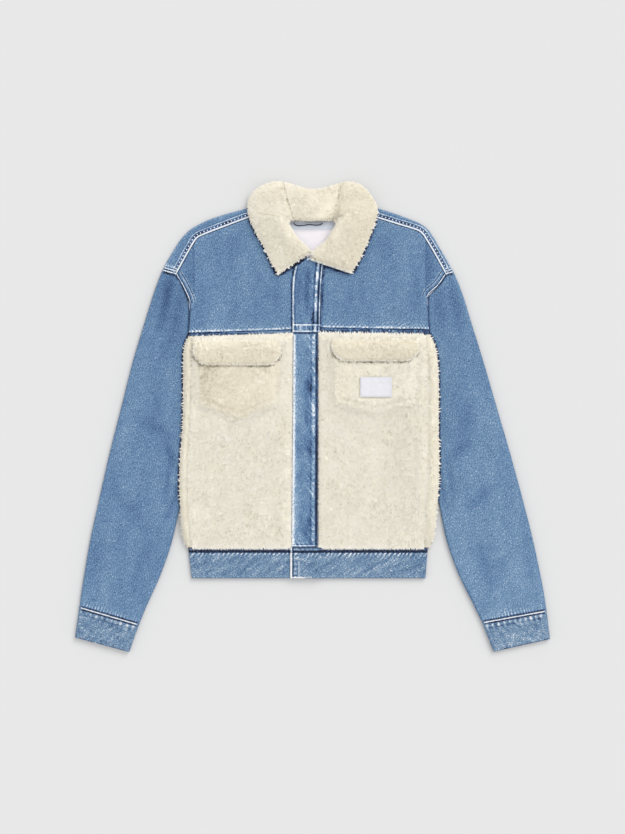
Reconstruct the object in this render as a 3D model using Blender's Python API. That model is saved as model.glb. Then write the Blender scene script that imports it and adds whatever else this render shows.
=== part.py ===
"""A denim jacket with sherpa front panels and a sherpa collar, laid out flat on its back.

Every cut piece of the jacket is its own closed solid. X is across the jacket, Y runs from hem to
collar, and Z points up from the surface that it lies on. "right" and "left" are the wearer's: the
wearer's right is at -X. Tables and sizes are in millimetres; the meshes are in metres.
"""

from collections import namedtuple

import bpy
import numpy as np

MM = 0.001
SEAM_GAP = 0.3  # between two pieces that are sewn together, or that lie on each other

# Thickness of the cloths
DENIM = 1.6
DENIM_DOUBLE = 3.0  # waistband and placket, folded double
SLEEVE_WALL = 1.8
CUFF_WALL = 2.6
SHERPA = 7.0  # backing and pile
SHERPA_UNDER = 2.2  # pressed flat under the jacket
POCKET_PILE = 4.2
FLAP_PILE = 4.6
LABEL = 1.0
TAPE = 2.2

# Heights of the layers
BODY_GAP = 2.0  # between the back and the front
FRONT_BASE = DENIM + BODY_GAP  # underside of the fronts
YOKE_TOP = FRONT_BASE + DENIM
SLEEVE_FLAT = 5.4  # a sleeve where the body lies on it
SLEEVE_FULL = 8.2  # and where it lies free
CUFF_HEIGHT = 8.6
BAND_HEIGHT = 7.4
PLACKET_TOP = YOKE_TOP + SEAM_GAP + DENIM_DOUBLE
OVER_SLEEVE = 9.0  # how far the body stays up beyond the edge of the sleeve under it
SETTLE = 52.0  # how far from there the body comes down to the surface
SLEEVE_SWELL = 40.0  # how far from the body a sleeve swells to its full height
EDGE_DROP = 1.5  # how far a folded denim edge turns down
PILE_DROP = 3.4  # how far the pile falls away at an edge

BACK_YOKE_SEAM_Y = 214.0
BACK_PANEL_HEM_Y = -215.4
SIDE_WRAP = 32.0  # how far a side panel reaches under the jacket
SIDE_ROWS = 15  # sections of a side panel
SHOULDER_POINTS = 13  # along a shoulder, from the sleeve to the neck
ARMHOLE_GAP = 0.8  # between a sleeve's cap and the body
LAYER_GAP = 0.6  # between layers of pile that lie on each other
LIP = 2.4  # the back yoke's upper edge where it leaves the shoulder for the neck

# Outlines, from the outside of each sleeve to the neck, as (x, y)
SHOULDER_FOLD = {
    "right": [(-248.5, 240), (-238, 260), (-220, 289), (-206, 305), (-190, 316), (-160, 329), (-108, 343.8),
              (-83.5, 351.5)],
    "left": [(233.5, 237.5), (212, 274.5), (199.5, 296), (190, 309), (176.5, 319), (158, 326.5),
             (139.5, 333.5), (107, 344), (81.5, 351.5)],
}
SHOULDER_SEAM = {
    "right": [(-225.5, 233.5), (-207, 267), (-195.5, 287), (-190, 294.6), (-181, 299.2), (-147.5, 312.2),
              (-107, 327.5), (-83.5, 335)],
    "left": [(220.5, 233.5), (201.3, 268.5), (186, 294), (180.5, 302), (173, 307), (142.5, 316.5),
             (107, 327.5), (81.5, 335)],
}
# From the shoulder seam down the armhole, then down the folded side of the front yoke
YOKE_SIDE = {
    "right": [(-225.5, 233.5), (-213, 212), (-203, 187.5), (-203.5, 162.5), (-204.5, 132.4)],
    "left": [(220.5, 233.5), (208, 216), (191, 198), (191.5, 167.5), (193, 134.9)],
}
# The front neck edge, under the collar, then the centre edge, under the placket
YOKE_CENTRE = {
    "right": [(-83.5, 335), (-67, 314.5), (-45.5, 286.5), (-26, 260), (-22, 230), (-22, 138.4)],
    "left": [(81.5, 335), (67, 314.5), (45.5, 286.5), (20, 258), (-4, 232), (-6, 138.4)],
}
BACK_NECK = [(-83.5, 341), (-62, 328), (-30, 323.5), (0, 322), (30, 323.5), (60, 328), (81.5, 341)]

# A sleeve: its cap, from the shoulder fold down under the body, then its two edges down to the cuff
SLEEVE_CAP = {
    "right": [(-248.5, 240), (-237, 236.6), (-225.5, 233.5), (-213, 212), (-203, 187.5), (-190, 152),
              (-177, 113)],
    "left": [(233.5, 237.5), (227, 235.3), (220.5, 233.5), (208, 216), (191, 198), (177, 156), (164, 113)],
}
SLEEVE_OUTER = {
    "right": [(-248.5, 240), (-261.5, 205.5), (-278, 152.5), (-296, 93), (-316, 14), (-336, -65),
              (-354, -144.5), (-367, -204), (-380.5, -283), (-384.5, -312.5)],
    "left": [(233.5, 237.5), (246.5, 205.5), (263, 152.5), (281.5, 93), (304.5, 14), (327.5, -65),
             (349, -144.5), (364, -204), (380.5, -283), (386, -318.5)],
}
SLEEVE_INNER = {
    "right": [(-177, 113), (-179, 73.5), (-184, 24), (-192, -32), (-203, -88.5), (-217, -142.5),
              (-233.5, -212), (-251.5, -263), (-274.5, -314.5), (-285.5, -341.5)],
    "left": [(164, 113), (167, 73.5), (173, 24), (182.5, -32), (194.5, -88.5), (207, -136), (221, -204),
             (240, -258), (264, -307.5), (279, -338)],
}
# A cuff: outer and inner end of its seam, then of its open edge
CUFF = {
    "right": [(-384.6, -312.9), (-285.7, -341.9), (-392, -364.5), (-302.5, -388.5)],
    "left": [(386.2, -318.9), (279.2, -338.4), (392, -367), (298.5, -388)],
}

# The body below the yoke: y, folded side edge and side seam, from the yoke down to the waistband
BodyRow = namedtuple("BodyRow", "y edge seam")
BODY_SIDE = {
    "right": [BodyRow(131.6, -205, -196), BodyRow(118, -210.5, -198), BodyRow(93, -213, -199),
              BodyRow(27, -213, -201), BodyRow(-22.5, -214.5, -203), BodyRow(-72, -218.5, -206),
              BodyRow(-121.5, -219, -207), BodyRow(-162.5, -217, -205), BodyRow(-195.5, -214.5, -202),
              BodyRow(-215.4, -208, -199)],
    "left": [BodyRow(134.1, 194, 184), BodyRow(119.5, 201, 188), BodyRow(96.5, 206, 190),
             BodyRow(60, 208, 192), BodyRow(-22.5, 208, 192), BodyRow(-72, 209, 191),
             BodyRow(-113, 208, 190), BodyRow(-154.5, 205, 188), BodyRow(-195.5, 201, 186),
             BodyRow(-215.4, 194, 184)],
}
YOKE_SEAM_Y = {"right": (132.0, 138.0), "left": (134.5, 138.0)}  # at the side and at the placket
PLACKET_UPPER = {"side": [(-17.5, 262), (-28, 248), (-33, 217), (-33, 138.7)],
                 "other": [(20, 262), (17, 240), (14.5, 205), (12.8, 138.7)]}
PLACKET_LOWER = {"side": [(-31.7, 138.2), (-33.0, -29), (-34.6, -215.4)],
                 "other": [(9.2, 138.2), (9, 19), (8.2, -215.4)]}
# x of the sherpa fronts beside the placket, at the top and at the bottom
FRONT_EDGE = {"right": (-32.8, -35.4), "left": (9.8, 9.8)}

# Patch pockets and flaps, as (x, y) down their two sides; the pocket's lower edge is pointed
POCKET = {
    "right": {"outer": [(-187, 108), (-186, 60), (-184, 21)], "inner": [(-53, 108), (-55, 60), (-58, 24)],
              "point": (-119.5, -2)},
    "left": {"outer": [(177, 108), (175, 60), (172.5, 24)], "inner": [(35, 108), (37, 60), (38, 24)],
             "point": (105, 7)},
}
FLAP = {
    "right": {"outer": [(-196, 128), (-196, 104), (-188.5, 84.5)],
              "inner": [(-52, 128), (-52, 104), (-60, 84.5)]},
    "left": {"outer": [(176, 130.5), (175, 108), (166, 91)],
             "inner": [(31.5, 130.5), (31.5, 110), (42, 91)]},
}
CHEST_LABEL = (78.5, 130.5, 32.0, 65.0)
NECK_LABEL = (-38.0, 40.0, 264.0, 307.5)
HANGER_LOOP = [(-30.5, 320.2), (-28.4, 317.9), (-24, 316.3), (-14, 316.9), (-4.5, 318.0), (6, 316.9),
               (12.5, 317.9), (16, 320.2)]

# The waistband
BAND_TOP_Y = -216.0
BAND_HEM_Y = -267.0
BAND_SIDES = {"right": (-205.4, -199.5), "left": (190.5, 186.5)}  # x at the top and at the hem
BAND_RIGHT_END = 6.0
BAND_LEFT_END = -36.5
BAND_STEP = 12.0  # where the left end climbs over the right one

# The collar, a row for each section from the wearer's right point round the back of the neck to the
# left point: its outer and inner edge, the height of its underside there, and of its crown
CollarRow = namedtuple("CollarRow", "out_x out_y in_x in_y base_out base_in crown")
COLLAR = [
    CollarRow(-56.5, 234.5, -5.5, 269.5, 9.2, 9.6, 19.5), CollarRow(-68.5, 254.5, -6.5, 277, 7.4, 9.0, 21.5),
    CollarRow(-81.5, 282, -22, 292.5, 5.6, 7.6, 24), CollarRow(-94, 304, -33, 308, 5.6, 5.8, 26),
    CollarRow(-104, 327, -38.5, 317, 5.6, 5.6, 27), CollarRow(-107.5, 347, -41.5, 321, 5.6, 5.6, 26),
    CollarRow(-100.5, 368, -42, 322.5, 5.6, 5.6, 24), CollarRow(-81.5, 382.5, -41, 323.3, 4.6, 5.6, 22),
    CollarRow(-58.5, 388.5, -37, 323.4, 1.5, 4.0, 19.5), CollarRow(-37, 385, -29, 322.8, 0, 2.2, 14.5),
    CollarRow(-18, 378.5, -15, 322.2, 0, 2.2, 18.5), CollarRow(1, 375.5, 1, 322, 0, 2.2, 20),
    CollarRow(20, 378, 17, 322.3, 0, 2.2, 18.5), CollarRow(38, 383.5, 31, 323, 0, 2.2, 14.5),
    CollarRow(58.5, 388, 41, 325, 1.5, 4.0, 19.5), CollarRow(81, 381.5, 46, 328, 4.6, 5.6, 22),
    CollarRow(97, 364, 47.5, 329, 5.6, 5.6, 24), CollarRow(107.5, 344, 47, 327, 5.6, 5.6, 26),
    CollarRow(104, 322.5, 41, 320, 5.6, 5.6, 27), CollarRow(97, 303, 33, 307.5, 5.6, 5.8, 26),
    CollarRow(86, 276, 21.5, 289, 5.6, 7.6, 24), CollarRow(75.5, 254.5, 2, 273.5, 7.4, 9.6, 22),
    CollarRow(64, 237, -2.5, 259, 9.2, 11.2, 20),
]
# Across the collar from its outer to its inner edge: place, and how high the crown has risen
CollarColumn = namedtuple("CollarColumn", "place rise")
COLLAR_PROFILE = [
    CollarColumn(0.0, 0.18), CollarColumn(0.03, 0.36), CollarColumn(0.1, 0.52), CollarColumn(0.28, 0.66),
    CollarColumn(0.5, 0.8), CollarColumn(0.72, 0.96), CollarColumn(0.88, 1.0), CollarColumn(0.97, 0.84),
    CollarColumn(1.0, 0.62),
]
UNDER_COLLAR = 1.2
UNDER_COLLAR_INSET = 0.035  # of the collar's width, at both edges

# Soft folds pressed into the sleeves: a row for each, its two ends, depth and half width
Fold = namedtuple("Fold", "x0 y0 x1 y1 depth half")
SLEEVE_FOLDS = [
    Fold(-300, -2, -232, -30, 0.9, 9), Fold(-246, -38, -222, -92, 1.1, 8), Fold(-250, 60, -262, -20, 0.6, 12),
    Fold(-330, -120, -280, -180, 0.6, 12), Fold(262, 30, 240, -60, 0.6, 12),
    Fold(300, -110, 262, -150, 0.9, 10), Fold(226, -70, 262, -40, 0.9, 8),
    Fold(330, -220, 300, -270, 0.6, 12),
]
# Soft folds down from the shoulders into the front yokes
YOKE_FOLDS = [
    Fold(-203, 290, -206, 215, 0.8, 7), Fold(-188, 250, -182, 170, 0.5, 10), Fold(192, 282, 190, 210, 0.8, 7),
    Fold(176, 262, 168, 176, 0.5, 10),
]

# Colours as linear RGB, with roughness
FINISH = {
    "denim": ((0.165, 0.262, 0.402, 1), 0.85),
    "sherpa": ((0.78, 0.73, 0.61, 1), 0.95),
    "tape": ((0.42, 0.48, 0.58, 1), 0.8),
    "label": ((0.86, 0.85, 0.86, 1), 0.6),
}


def smoothstep(t):
    t = np.clip(t, 0.0, 1.0)
    return t * t * (3 - 2 * t)


def spline(points, count):
    """A smooth curve through the points, as count points at equal distances along it."""
    points = np.asarray(points, float)
    ends = np.vstack([2 * points[0] - points[1], points, 2 * points[-1] - points[-2]])
    t = np.linspace(0, 1, 25)[:, None]
    pieces = []
    for a, b, c, d in zip(ends, ends[1:], ends[2:], ends[3:]):
        chord = np.linalg.norm(c - b)
        at_b = (c - a) * chord / (chord + np.linalg.norm(b - a))
        at_c = (d - b) * chord / (chord + np.linalg.norm(d - c))
        pieces.append((2 * t**3 - 3 * t**2 + 1) * b + (t**3 - 2 * t**2 + t) * at_b
                      + (3 * t**2 - 2 * t**3) * c + (t**3 - t**2) * at_c)
    return resample(np.vstack(pieces), count)


def resample(line, count):
    steps = np.linalg.norm(np.diff(line, axis=0), axis=1)
    along = np.concatenate([[0], np.cumsum(steps)])
    places = np.linspace(0, along[-1], count)
    return np.stack([np.interp(places, along, line[:, k]) for k in range(line.shape[1])], axis=1)


def patch(top, bottom, first, last):
    """A plan grid that fills four edges: top and bottom run across, first and last run down."""
    across = np.linspace(0, 1, len(top))[None, :, None]
    down = np.linspace(0, 1, len(first))[:, None, None]
    ruled = (1 - down) * top[None] + down * bottom[None]
    ruled = ruled + (1 - across) * first[:, None] + across * last[:, None]
    corners = ((1 - down) * ((1 - across) * top[0] + across * top[-1])
               + down * ((1 - across) * bottom[0] + across * bottom[-1]))
    return ruled - corners


def shrink(grid, gap):
    """The plan grid with each of its four edges moved inwards by the gap."""
    grid = grid.copy()
    for edge, inside in ((np.s_[0], np.s_[1]), (np.s_[-1], np.s_[-2]), (np.s_[:, 0], np.s_[:, 1]),
                         (np.s_[:, -1], np.s_[:, -2])):
        inward = grid[inside] - grid[edge]
        grid[edge] += inward * (gap / np.linalg.norm(inward, axis=-1, keepdims=True))
    return grid


def distance_to_line(points, line):
    nearest = np.full(points.shape[:-1], np.inf)
    for a, b in zip(line, line[1:]):
        along = np.clip(((points - a) @ (b - a)) / ((b - a) @ (b - a)), 0, 1)
        nearest = np.minimum(nearest, np.linalg.norm(points - a - along[..., None] * (b - a), axis=-1))
    return nearest


def inside(points, outline):
    hit = np.zeros(points.shape[:-1], bool)
    for a, b in zip(outline, np.roll(outline, -1, axis=0)):
        if a[1] != b[1]:
            crosses = (a[1] > points[..., 1]) != (b[1] > points[..., 1])
            edge_x = a[0] + (points[..., 1] - a[1]) * (b[0] - a[0]) / (b[1] - a[1])
            hit ^= crosses & (points[..., 0] < edge_x)
    return hit


def tucked_outline(side):
    """Where a sleeve lies under the body: between the body's folded side and the sleeve's inner edge."""
    outer = [YOKE_SIDE[side][2], YOKE_SIDE[side][3]] + [(row.edge, row.y) for row in BODY_SIDE[side][:8]]
    inner = SLEEVE_CAP[side][5:] + SLEEVE_INNER[side][1:6]
    return np.array(outer + inner[::-1], float)


TUCKED = [tucked_outline("right"), tucked_outline("left")]


def distance_to_tuck(points):
    found = np.full(points.shape[:-1], np.inf)
    for outline in TUCKED:
        loop = np.vstack([outline, outline[:1]])
        found = np.minimum(found, np.where(inside(points, outline), 0, distance_to_line(points, loop)))
    return found


def lift(points):
    """How high the underside of the body lies above the surface, at plan points."""
    over_sleeve = SLEEVE_FLAT + SEAM_GAP
    return over_sleeve * (1 - smoothstep((distance_to_tuck(points) - OVER_SLEEVE) / SETTLE))


def relief(points, folds):
    """How deep the soft folds press in at plan points."""
    depth = np.zeros(points.shape[:-1])
    for fold in folds:
        line = np.array([(fold.x0, fold.y0), (fold.x1, fold.y1)], float)
        depth += fold.depth * np.exp(-((distance_to_line(points, line) / fold.half) ** 2))
    return depth


def at_height(plan, height):
    return np.concatenate([plan, np.broadcast_to(height, plan.shape[:-1])[..., None]], axis=-1)


def add_solid(name, outer, inner, finish, ring=False):
    """A wall between two grids of points, closed along its edges; a ring's sections close on themselves."""
    rows, columns = outer.shape[:2]
    index = np.arange(rows * columns).reshape(rows, columns)
    if ring:
        index = np.hstack([index, index[:, :1]])
    back = index + rows * columns
    faces = []
    for i in range(rows - 1):
        for j in range(index.shape[1] - 1):
            faces.append((index[i, j], index[i, j + 1], index[i + 1, j + 1], index[i + 1, j]))
            faces.append((back[i, j], back[i + 1, j], back[i + 1, j + 1], back[i, j + 1]))
    for j in range(index.shape[1] - 1):
        faces.append((index[0, j + 1], index[0, j], back[0, j], back[0, j + 1]))
        faces.append((index[-1, j], index[-1, j + 1], back[-1, j + 1], back[-1, j]))
    if not ring:
        for i in range(rows - 1):
            faces.append((index[i, 0], index[i + 1, 0], back[i + 1, 0], back[i, 0]))
            faces.append((index[i + 1, -1], index[i, -1], back[i, -1], back[i + 1, -1]))
    points = np.vstack([outer.reshape(-1, 3), inner.reshape(-1, 3)])
    corners = points[np.array(faces)]
    fans = [np.linalg.det(corners[:, [0, k, k + 1]]).sum() for k in (1, 2)]
    if sum(fans) < 0:
        faces = [face[::-1] for face in faces]
    mesh = bpy.data.meshes.new(name)
    mesh.from_pydata((points * MM).tolist(), [], [tuple(int(k) for k in face) for face in faces])
    mesh.shade_smooth()
    mesh.materials.append(material(finish))
    obj = bpy.data.objects.new(name, mesh)
    bpy.context.scene.collection.objects.link(obj)
    return obj


def material(finish):
    if finish in bpy.data.materials:
        return bpy.data.materials[finish]
    made = bpy.data.materials.new(finish)
    made.use_nodes = True
    shader = made.node_tree.nodes["Principled BSDF"]
    color, roughness = FINISH[finish]
    shader.inputs["Base Color"].default_value = color
    shader.inputs["Roughness"].default_value = roughness
    made.diffuse_color = color
    return made


def edge_drop(grid, drop, reach):
    """How far a panel's top falls towards its four edges, at each point of its plan grid."""
    outline = np.vstack([grid[0], grid[1:, -1], grid[-1, -2::-1], grid[-2::-1, 0]])
    near = np.clip(distance_to_line(grid, outline) / reach, 0, 1)
    return drop * (1 - np.sqrt(1 - (1 - near) ** 2))


def spaced(line, edge, count):
    """count points along a line, the second and the last but one only edge away from its ends."""
    steps = np.linalg.norm(np.diff(line, axis=0), axis=1)
    along = np.concatenate([[0], np.cumsum(steps)])
    length = along[-1]
    middle = np.linspace(edge, length - edge, count - 4)
    places = np.concatenate([[0, edge * 0.35], middle, [length - edge * 0.35, length]])
    return np.stack([np.interp(places, along, line[:, k]) for k in range(2)], axis=1)


def edged_patch(top, bottom, first, last, across, down, edge):
    """A patch whose outer rows and columns lie close to its edges, so that they can be rounded."""
    fine = 60
    grid = patch(resample(top, fine), resample(bottom, fine), resample(first, fine), resample(last, fine))
    rows = np.stack([spaced(row, edge, across) for row in grid])
    return np.stack([spaced(rows[:, k], edge, down) for k in range(across)], axis=1)


# ---- Denim body ----


def add_front_yoke(side):
    count = SHOULDER_POINTS
    top = spline(SHOULDER_SEAM[side], count)
    bottom = resample(np.array([YOKE_SIDE[side][-1], YOKE_CENTRE[side][-1]], float), count)
    plan = patch(top, bottom, spline(YOKE_SIDE[side], count), spline(YOKE_CENTRE[side], count))
    plan = shrink(plan, SEAM_GAP / 2)
    turned = np.zeros(plan.shape[:2])
    turned[4:, 0] = EDGE_DROP
    turned[4:, 1] = EDGE_DROP * 0.1
    height = lift(plan) + YOKE_TOP - turned
    outer = at_height(plan, height - relief(plan, YOKE_FOLDS))
    inner = at_height(plan, height - DENIM)
    inner[..., 2] -= np.minimum(relief(plan, YOKE_FOLDS), BODY_GAP - EDGE_DROP - 0.1)
    add_solid(f"front_yoke_{side}", outer, inner, "denim")


def yoke_sections():
    """The back yoke's sections: fold point, inward direction, lip length, turn and end on its lower seam."""
    sections = []
    neck = 9
    for side in ("right", "left"):
        fold = spline(SHOULDER_FOLD[side], SHOULDER_POINTS)
        seam = spline(SHOULDER_SEAM[side], SHOULDER_POINTS)
        row = []
        for at_fold, at_seam in zip(fold, seam):
            inward = at_seam - at_fold
            reach = np.linalg.norm(inward)
            row.append((at_fold, inward / reach, reach - SEAM_GAP / 2 - YOKE_TOP / 2, np.pi))
        at_fold, inward, _, _ = row[-1]
        step = np.array([5.0 if side == "right" else -5.0, 0.6])
        row.append((at_fold + step, inward, LIP, np.pi))
        row.append((at_fold + 2 * step, inward, LIP, np.pi / 2))
        sections.append(row)
    middle = [(at, np.array([0.0, -1.0]), YOKE_TOP / 2, 0.0) for at in spline(BACK_NECK, neck)[1:-1]]
    return sections[0] + middle + sections[1][::-1]


def add_back_yoke():
    """Round over each shoulder from the forward seam, then flat under the front down to its lower seam."""
    radius = YOKE_TOP / 2
    sections = yoke_sections()
    arcs, lips, sheet_rows = 5, 2, 5
    starts = np.array([fold + inward * radius for fold, inward, _, _ in sections])
    ends = {}
    for side, sign in (("right", 1), ("left", -1)):
        shoulder_end = np.array(SHOULDER_SEAM[side][0])
        seam_x = armhole_x(side, BACK_YOKE_SEAM_Y)
        bottom = np.array([seam_x + sign * ARMHOLE_GAP, BACK_YOKE_SEAM_Y + SEAM_GAP / 2])
        inset = np.array([sign * SEAM_GAP, SEAM_GAP])
        start = starts[0 if side == "right" else -1]
        ends[side] = resample(np.array([start, shoulder_end + inset, bottom]), sheet_rows + 1)
    lower = resample(np.array([ends["right"][-1], ends["left"][-1]]), len(sections))
    sheet = patch(starts, lower, ends["right"], ends["left"])
    outer, inner = [], []
    for column, (fold, inward, lip, turn) in enumerate(sections):
        angles = np.linspace(turn, 0, arcs)
        along = [(radius - radius * np.sin(turn) - np.cos(turn) * lip * k / lips,
                  radius - radius * np.cos(turn) + np.sin(turn) * lip * k / lips)
                 for k in range(lips, 0, -1)]
        along += [(radius - radius * np.sin(a), radius - radius * np.cos(a)) for a in angles]
        normals = [(np.sin(turn), np.cos(turn))] * lips + [(np.sin(a), np.cos(a)) for a in angles]
        column_out = [(*(fold + inward * s), z) for s, z in along]
        column_in = [(*(fold + inward * (s + across * DENIM)), z + up * DENIM)
                     for (s, z), (across, up) in zip(along, normals)]
        below = sheet[1:, column]
        under = lift(below)
        column_out += [(x, y, z) for (x, y), z in zip(below, under)]
        column_in += [(x, y, z + DENIM) for (x, y), z in zip(below, under)]
        outer.append(column_out)
        inner.append(column_in)
    add_solid("back_yoke", np.array(outer), np.array(inner), "denim")


def side_rows(side, count):
    rows = BODY_SIDE[side]
    edge = spline([(row.edge, row.y) for row in rows], count)
    return edge, spline([(row.seam, row.y) for row in rows], count)


def add_back_panel():
    """Under the front, down to the waistband; its lower sides are sewn to the side panels."""
    seam_y = BACK_YOKE_SEAM_Y - SEAM_GAP / 2
    sides = {}
    for side, sign in (("right", 1), ("left", -1)):
        edge, _ = side_rows(side, SIDE_ROWS)
        armhole, fold, side_end = YOKE_SIDE[side][2:]
        seam = [(armhole_x(side, y) + sign * ARMHOLE_GAP, y) for y in (seam_y, (seam_y + armhole[1]) / 2)]
        above = seam + [(armhole[0] + sign, armhole[1]), (fold[0] + sign, fold[1]),
                        (side_end[0] + sign, edge[0][1] + 8 * SEAM_GAP)]
        below = edge + np.array([sign * (SIDE_WRAP + SEAM_GAP), SEAM_GAP])
        sides[side] = np.vstack([above, below])
    near = np.array([0, 0.03, 0.06, 0.1, 0.15, 0.21, 0.3])
    places = np.concatenate([near, [0.5], 1 - near[::-1]])[None, :, None]
    plan = sides["right"][:, None] * (1 - places) + sides["left"][:, None] * places
    under = lift(plan)
    add_solid("back_panel", at_height(plan, under + DENIM), at_height(plan, under), "denim")


def add_placket(name, sides, top, thickness, rows):
    left, right = spline(sides["side"], rows), spline(sides["other"], rows)
    places = np.array([0, 0.06, 0.35, 0.65, 0.94, 1.0])[None, :, None]
    plan = left[:, None] * (1 - places) + right[:, None] * places
    height = np.full(plan.shape[:2], top)
    height[:, [0, -1]] -= 0.9
    add_solid(name, at_height(plan, height), at_height(plan, height * 0 + top - thickness), "denim")


def band_section(x_right, x_left, top_fall):
    """The waistband's path in X and Z, outer and inner, from its right end round the back to its left end."""
    outer, inner = [], []

    def run(x0, x1, z, count, down):
        for x in np.linspace(x0, x1, count):
            outer.append((x, z - (top_fall if down > 0 else 0)))
            inner.append((x, z - down * DENIM_DOUBLE))

    radius = BAND_HEIGHT / 2
    run(BAND_RIGHT_END, x_right + radius, BAND_HEIGHT, 9, 1)
    for angle in np.radians([135, 90, 45]):
        s, z = radius - radius * np.sin(angle), radius - radius * np.cos(angle)
        outer.append((x_right + s, z))
        inner.append((x_right + s + np.sin(angle) * DENIM_DOUBLE, z + np.cos(angle) * DENIM_DOUBLE))
    run(x_right + radius, x_left - radius, 0, 13, -1)
    for angle in np.radians([45, 90, 135]):
        s, z = radius - radius * np.sin(angle), radius - radius * np.cos(angle)
        outer.append((x_left - s, z))
        inner.append((x_left - s - np.sin(angle) * DENIM_DOUBLE, z + np.cos(angle) * DENIM_DOUBLE))
    run(x_left - radius, BAND_STEP + 8, BAND_HEIGHT, 8, 1)
    run(BAND_STEP, BAND_LEFT_END, BAND_HEIGHT + DENIM_DOUBLE + 2 * SEAM_GAP, 5, 1)
    return np.array(outer), np.array(inner)


def add_waistband():
    outer, inner = [], []
    for place, fall in ((0, 0.7), (0.06, 0), (0.5, 0), (0.94, 0), (1, 0.7)):
        right = np.interp(place, (0, 1), BAND_SIDES["right"])
        left = np.interp(place, (0, 1), BAND_SIDES["left"])
        y = np.interp(place, (0, 1), (BAND_TOP_Y, BAND_HEM_Y))
        path_out, path_in = band_section(right, left, fall)
        outer.append([(x, y, z) for x, z in path_out])
        inner.append([(x, y, z) for x, z in path_in])
    add_solid("waistband", np.array(outer), np.array(inner), "denim")


# ---- Sleeves ----


def tube_section(row, height, wall, top_count, under_count, folds):
    """A flattened ring across the sleeve: along the top, round one edge, back below, round the other."""
    steps = np.linalg.norm(np.diff(row, axis=0), axis=1)
    along = np.concatenate([[0], np.cumsum(steps)])
    width = along[-1]

    def place(s):
        direction = (row[-1] - row[0]) / np.linalg.norm(row[-1] - row[0])
        at = np.array([np.interp(s, along, row[:, 0]), np.interp(s, along, row[:, 1])])
        return at + direction * (min(s, 0) + max(s - width, 0))

    outer, inner = [], []
    low, high = (float(height(place(s)[None])[0]) / 2 for s in (0, width))

    def turn(centre, radius, sign, angles):
        for a in angles:
            for points, r in ((outer, radius), (inner, radius - wall)):
                points.append((*place(centre + sign * r * np.sin(a)), radius - r * np.cos(a)))

    for s in np.linspace(low, width - high, top_count):
        at = place(s)
        top = float(height(at[None])[0]) - float(relief(at[None], folds)[0])
        outer.append((*at, top))
        inner.append((*at, top - wall))
    angles = np.radians([135, 90, 45])
    turn(width - high, high, 1, angles)
    for s in np.linspace(width - high, low, under_count):
        outer.append((*place(s), 0))
        inner.append((*place(s), wall))
    turn(low, low, -1, angles[::-1])
    return outer, inner


def armhole_x(side, y):
    """Where the armhole seam lies at a height on the body."""
    cap = spline(SLEEVE_CAP[side], 40)[::-1]
    return np.interp(y, cap[:, 1], cap[:, 0])


def sleeve_height(points):
    return SLEEVE_FLAT + (SLEEVE_FULL - SLEEVE_FLAT) * smoothstep(distance_to_tuck(points) / SLEEVE_SWELL)


def add_sleeve(side):
    rows, columns = 17, 13
    cap = spline(SLEEVE_CAP[side], columns)
    hem = resample(np.array([SLEEVE_OUTER[side][-1], SLEEVE_INNER[side][-1]], float), columns)
    plan = patch(cap, hem, spline(SLEEVE_OUTER[side], rows), spline(SLEEVE_INNER[side], rows))
    outward = plan[1] - plan[0]
    plan[0] += outward * (ARMHOLE_GAP / np.linalg.norm(outward, axis=-1, keepdims=True))
    sections = [tube_section(row, sleeve_height, SLEEVE_WALL, 9, 5, SLEEVE_FOLDS) for row in plan]
    outer, inner = (np.array([section[k] for section in sections]) for k in (0, 1))
    add_solid(f"sleeve_{side}", outer, inner, "denim", ring=True)


def add_cuff(side):
    seam_out, seam_in, edge_out, edge_in = (np.array(point, float) for point in CUFF[side])
    outer, inner = [], []
    for place in (0.0, 0.08, 0.5, 0.92, 1.0):
        ends = np.array([seam_out + (edge_out - seam_out) * place, seam_in + (edge_in - seam_in) * place])
        tall = CUFF_HEIGHT - (0.8 if place in (0.0, 1.0) else 0.0)
        section = tube_section(resample(ends, 5), lambda at: np.full(len(at), tall), CUFF_WALL, 7, 5, [])
        outer.append(section[0])
        inner.append(section[1])
    add_solid(f"cuff_{side}", np.array(outer), np.array(inner), "denim", ring=True)


# ---- Sherpa ----


def pile_top(points):
    """The height of the pile on the front panels, away from their edges."""
    return lift(points) + FRONT_BASE + SHERPA


def add_front_panel(side):
    _, seam = side_rows(side, 24)
    sign = 1 if side == "right" else -1
    seam = seam + np.array([sign * LAYER_GAP, 0])
    y_side, y_centre = seam[0][1], YOKE_SEAM_Y[side][1] - SEAM_GAP - 0.4
    top_x, bottom_x = FRONT_EDGE[side]
    centre = np.array([(top_x, y_centre), (bottom_x, BACK_PANEL_HEM_Y)])
    top = np.array([(seam[0][0], y_side), centre[0]])
    bottom = np.array([seam[-1], centre[-1]])
    plan = edged_patch(top, bottom, seam, centre, 12, 20, 9.0)
    base = lift(plan) + FRONT_BASE
    drop = edge_drop(plan, PILE_DROP, 9.0)
    drop[:, :2] = np.minimum(drop[:, :2], 0.4)
    add_solid(f"front_panel_{side}", at_height(plan, base + SHERPA - drop), at_height(plan, base), "sherpa")


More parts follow.
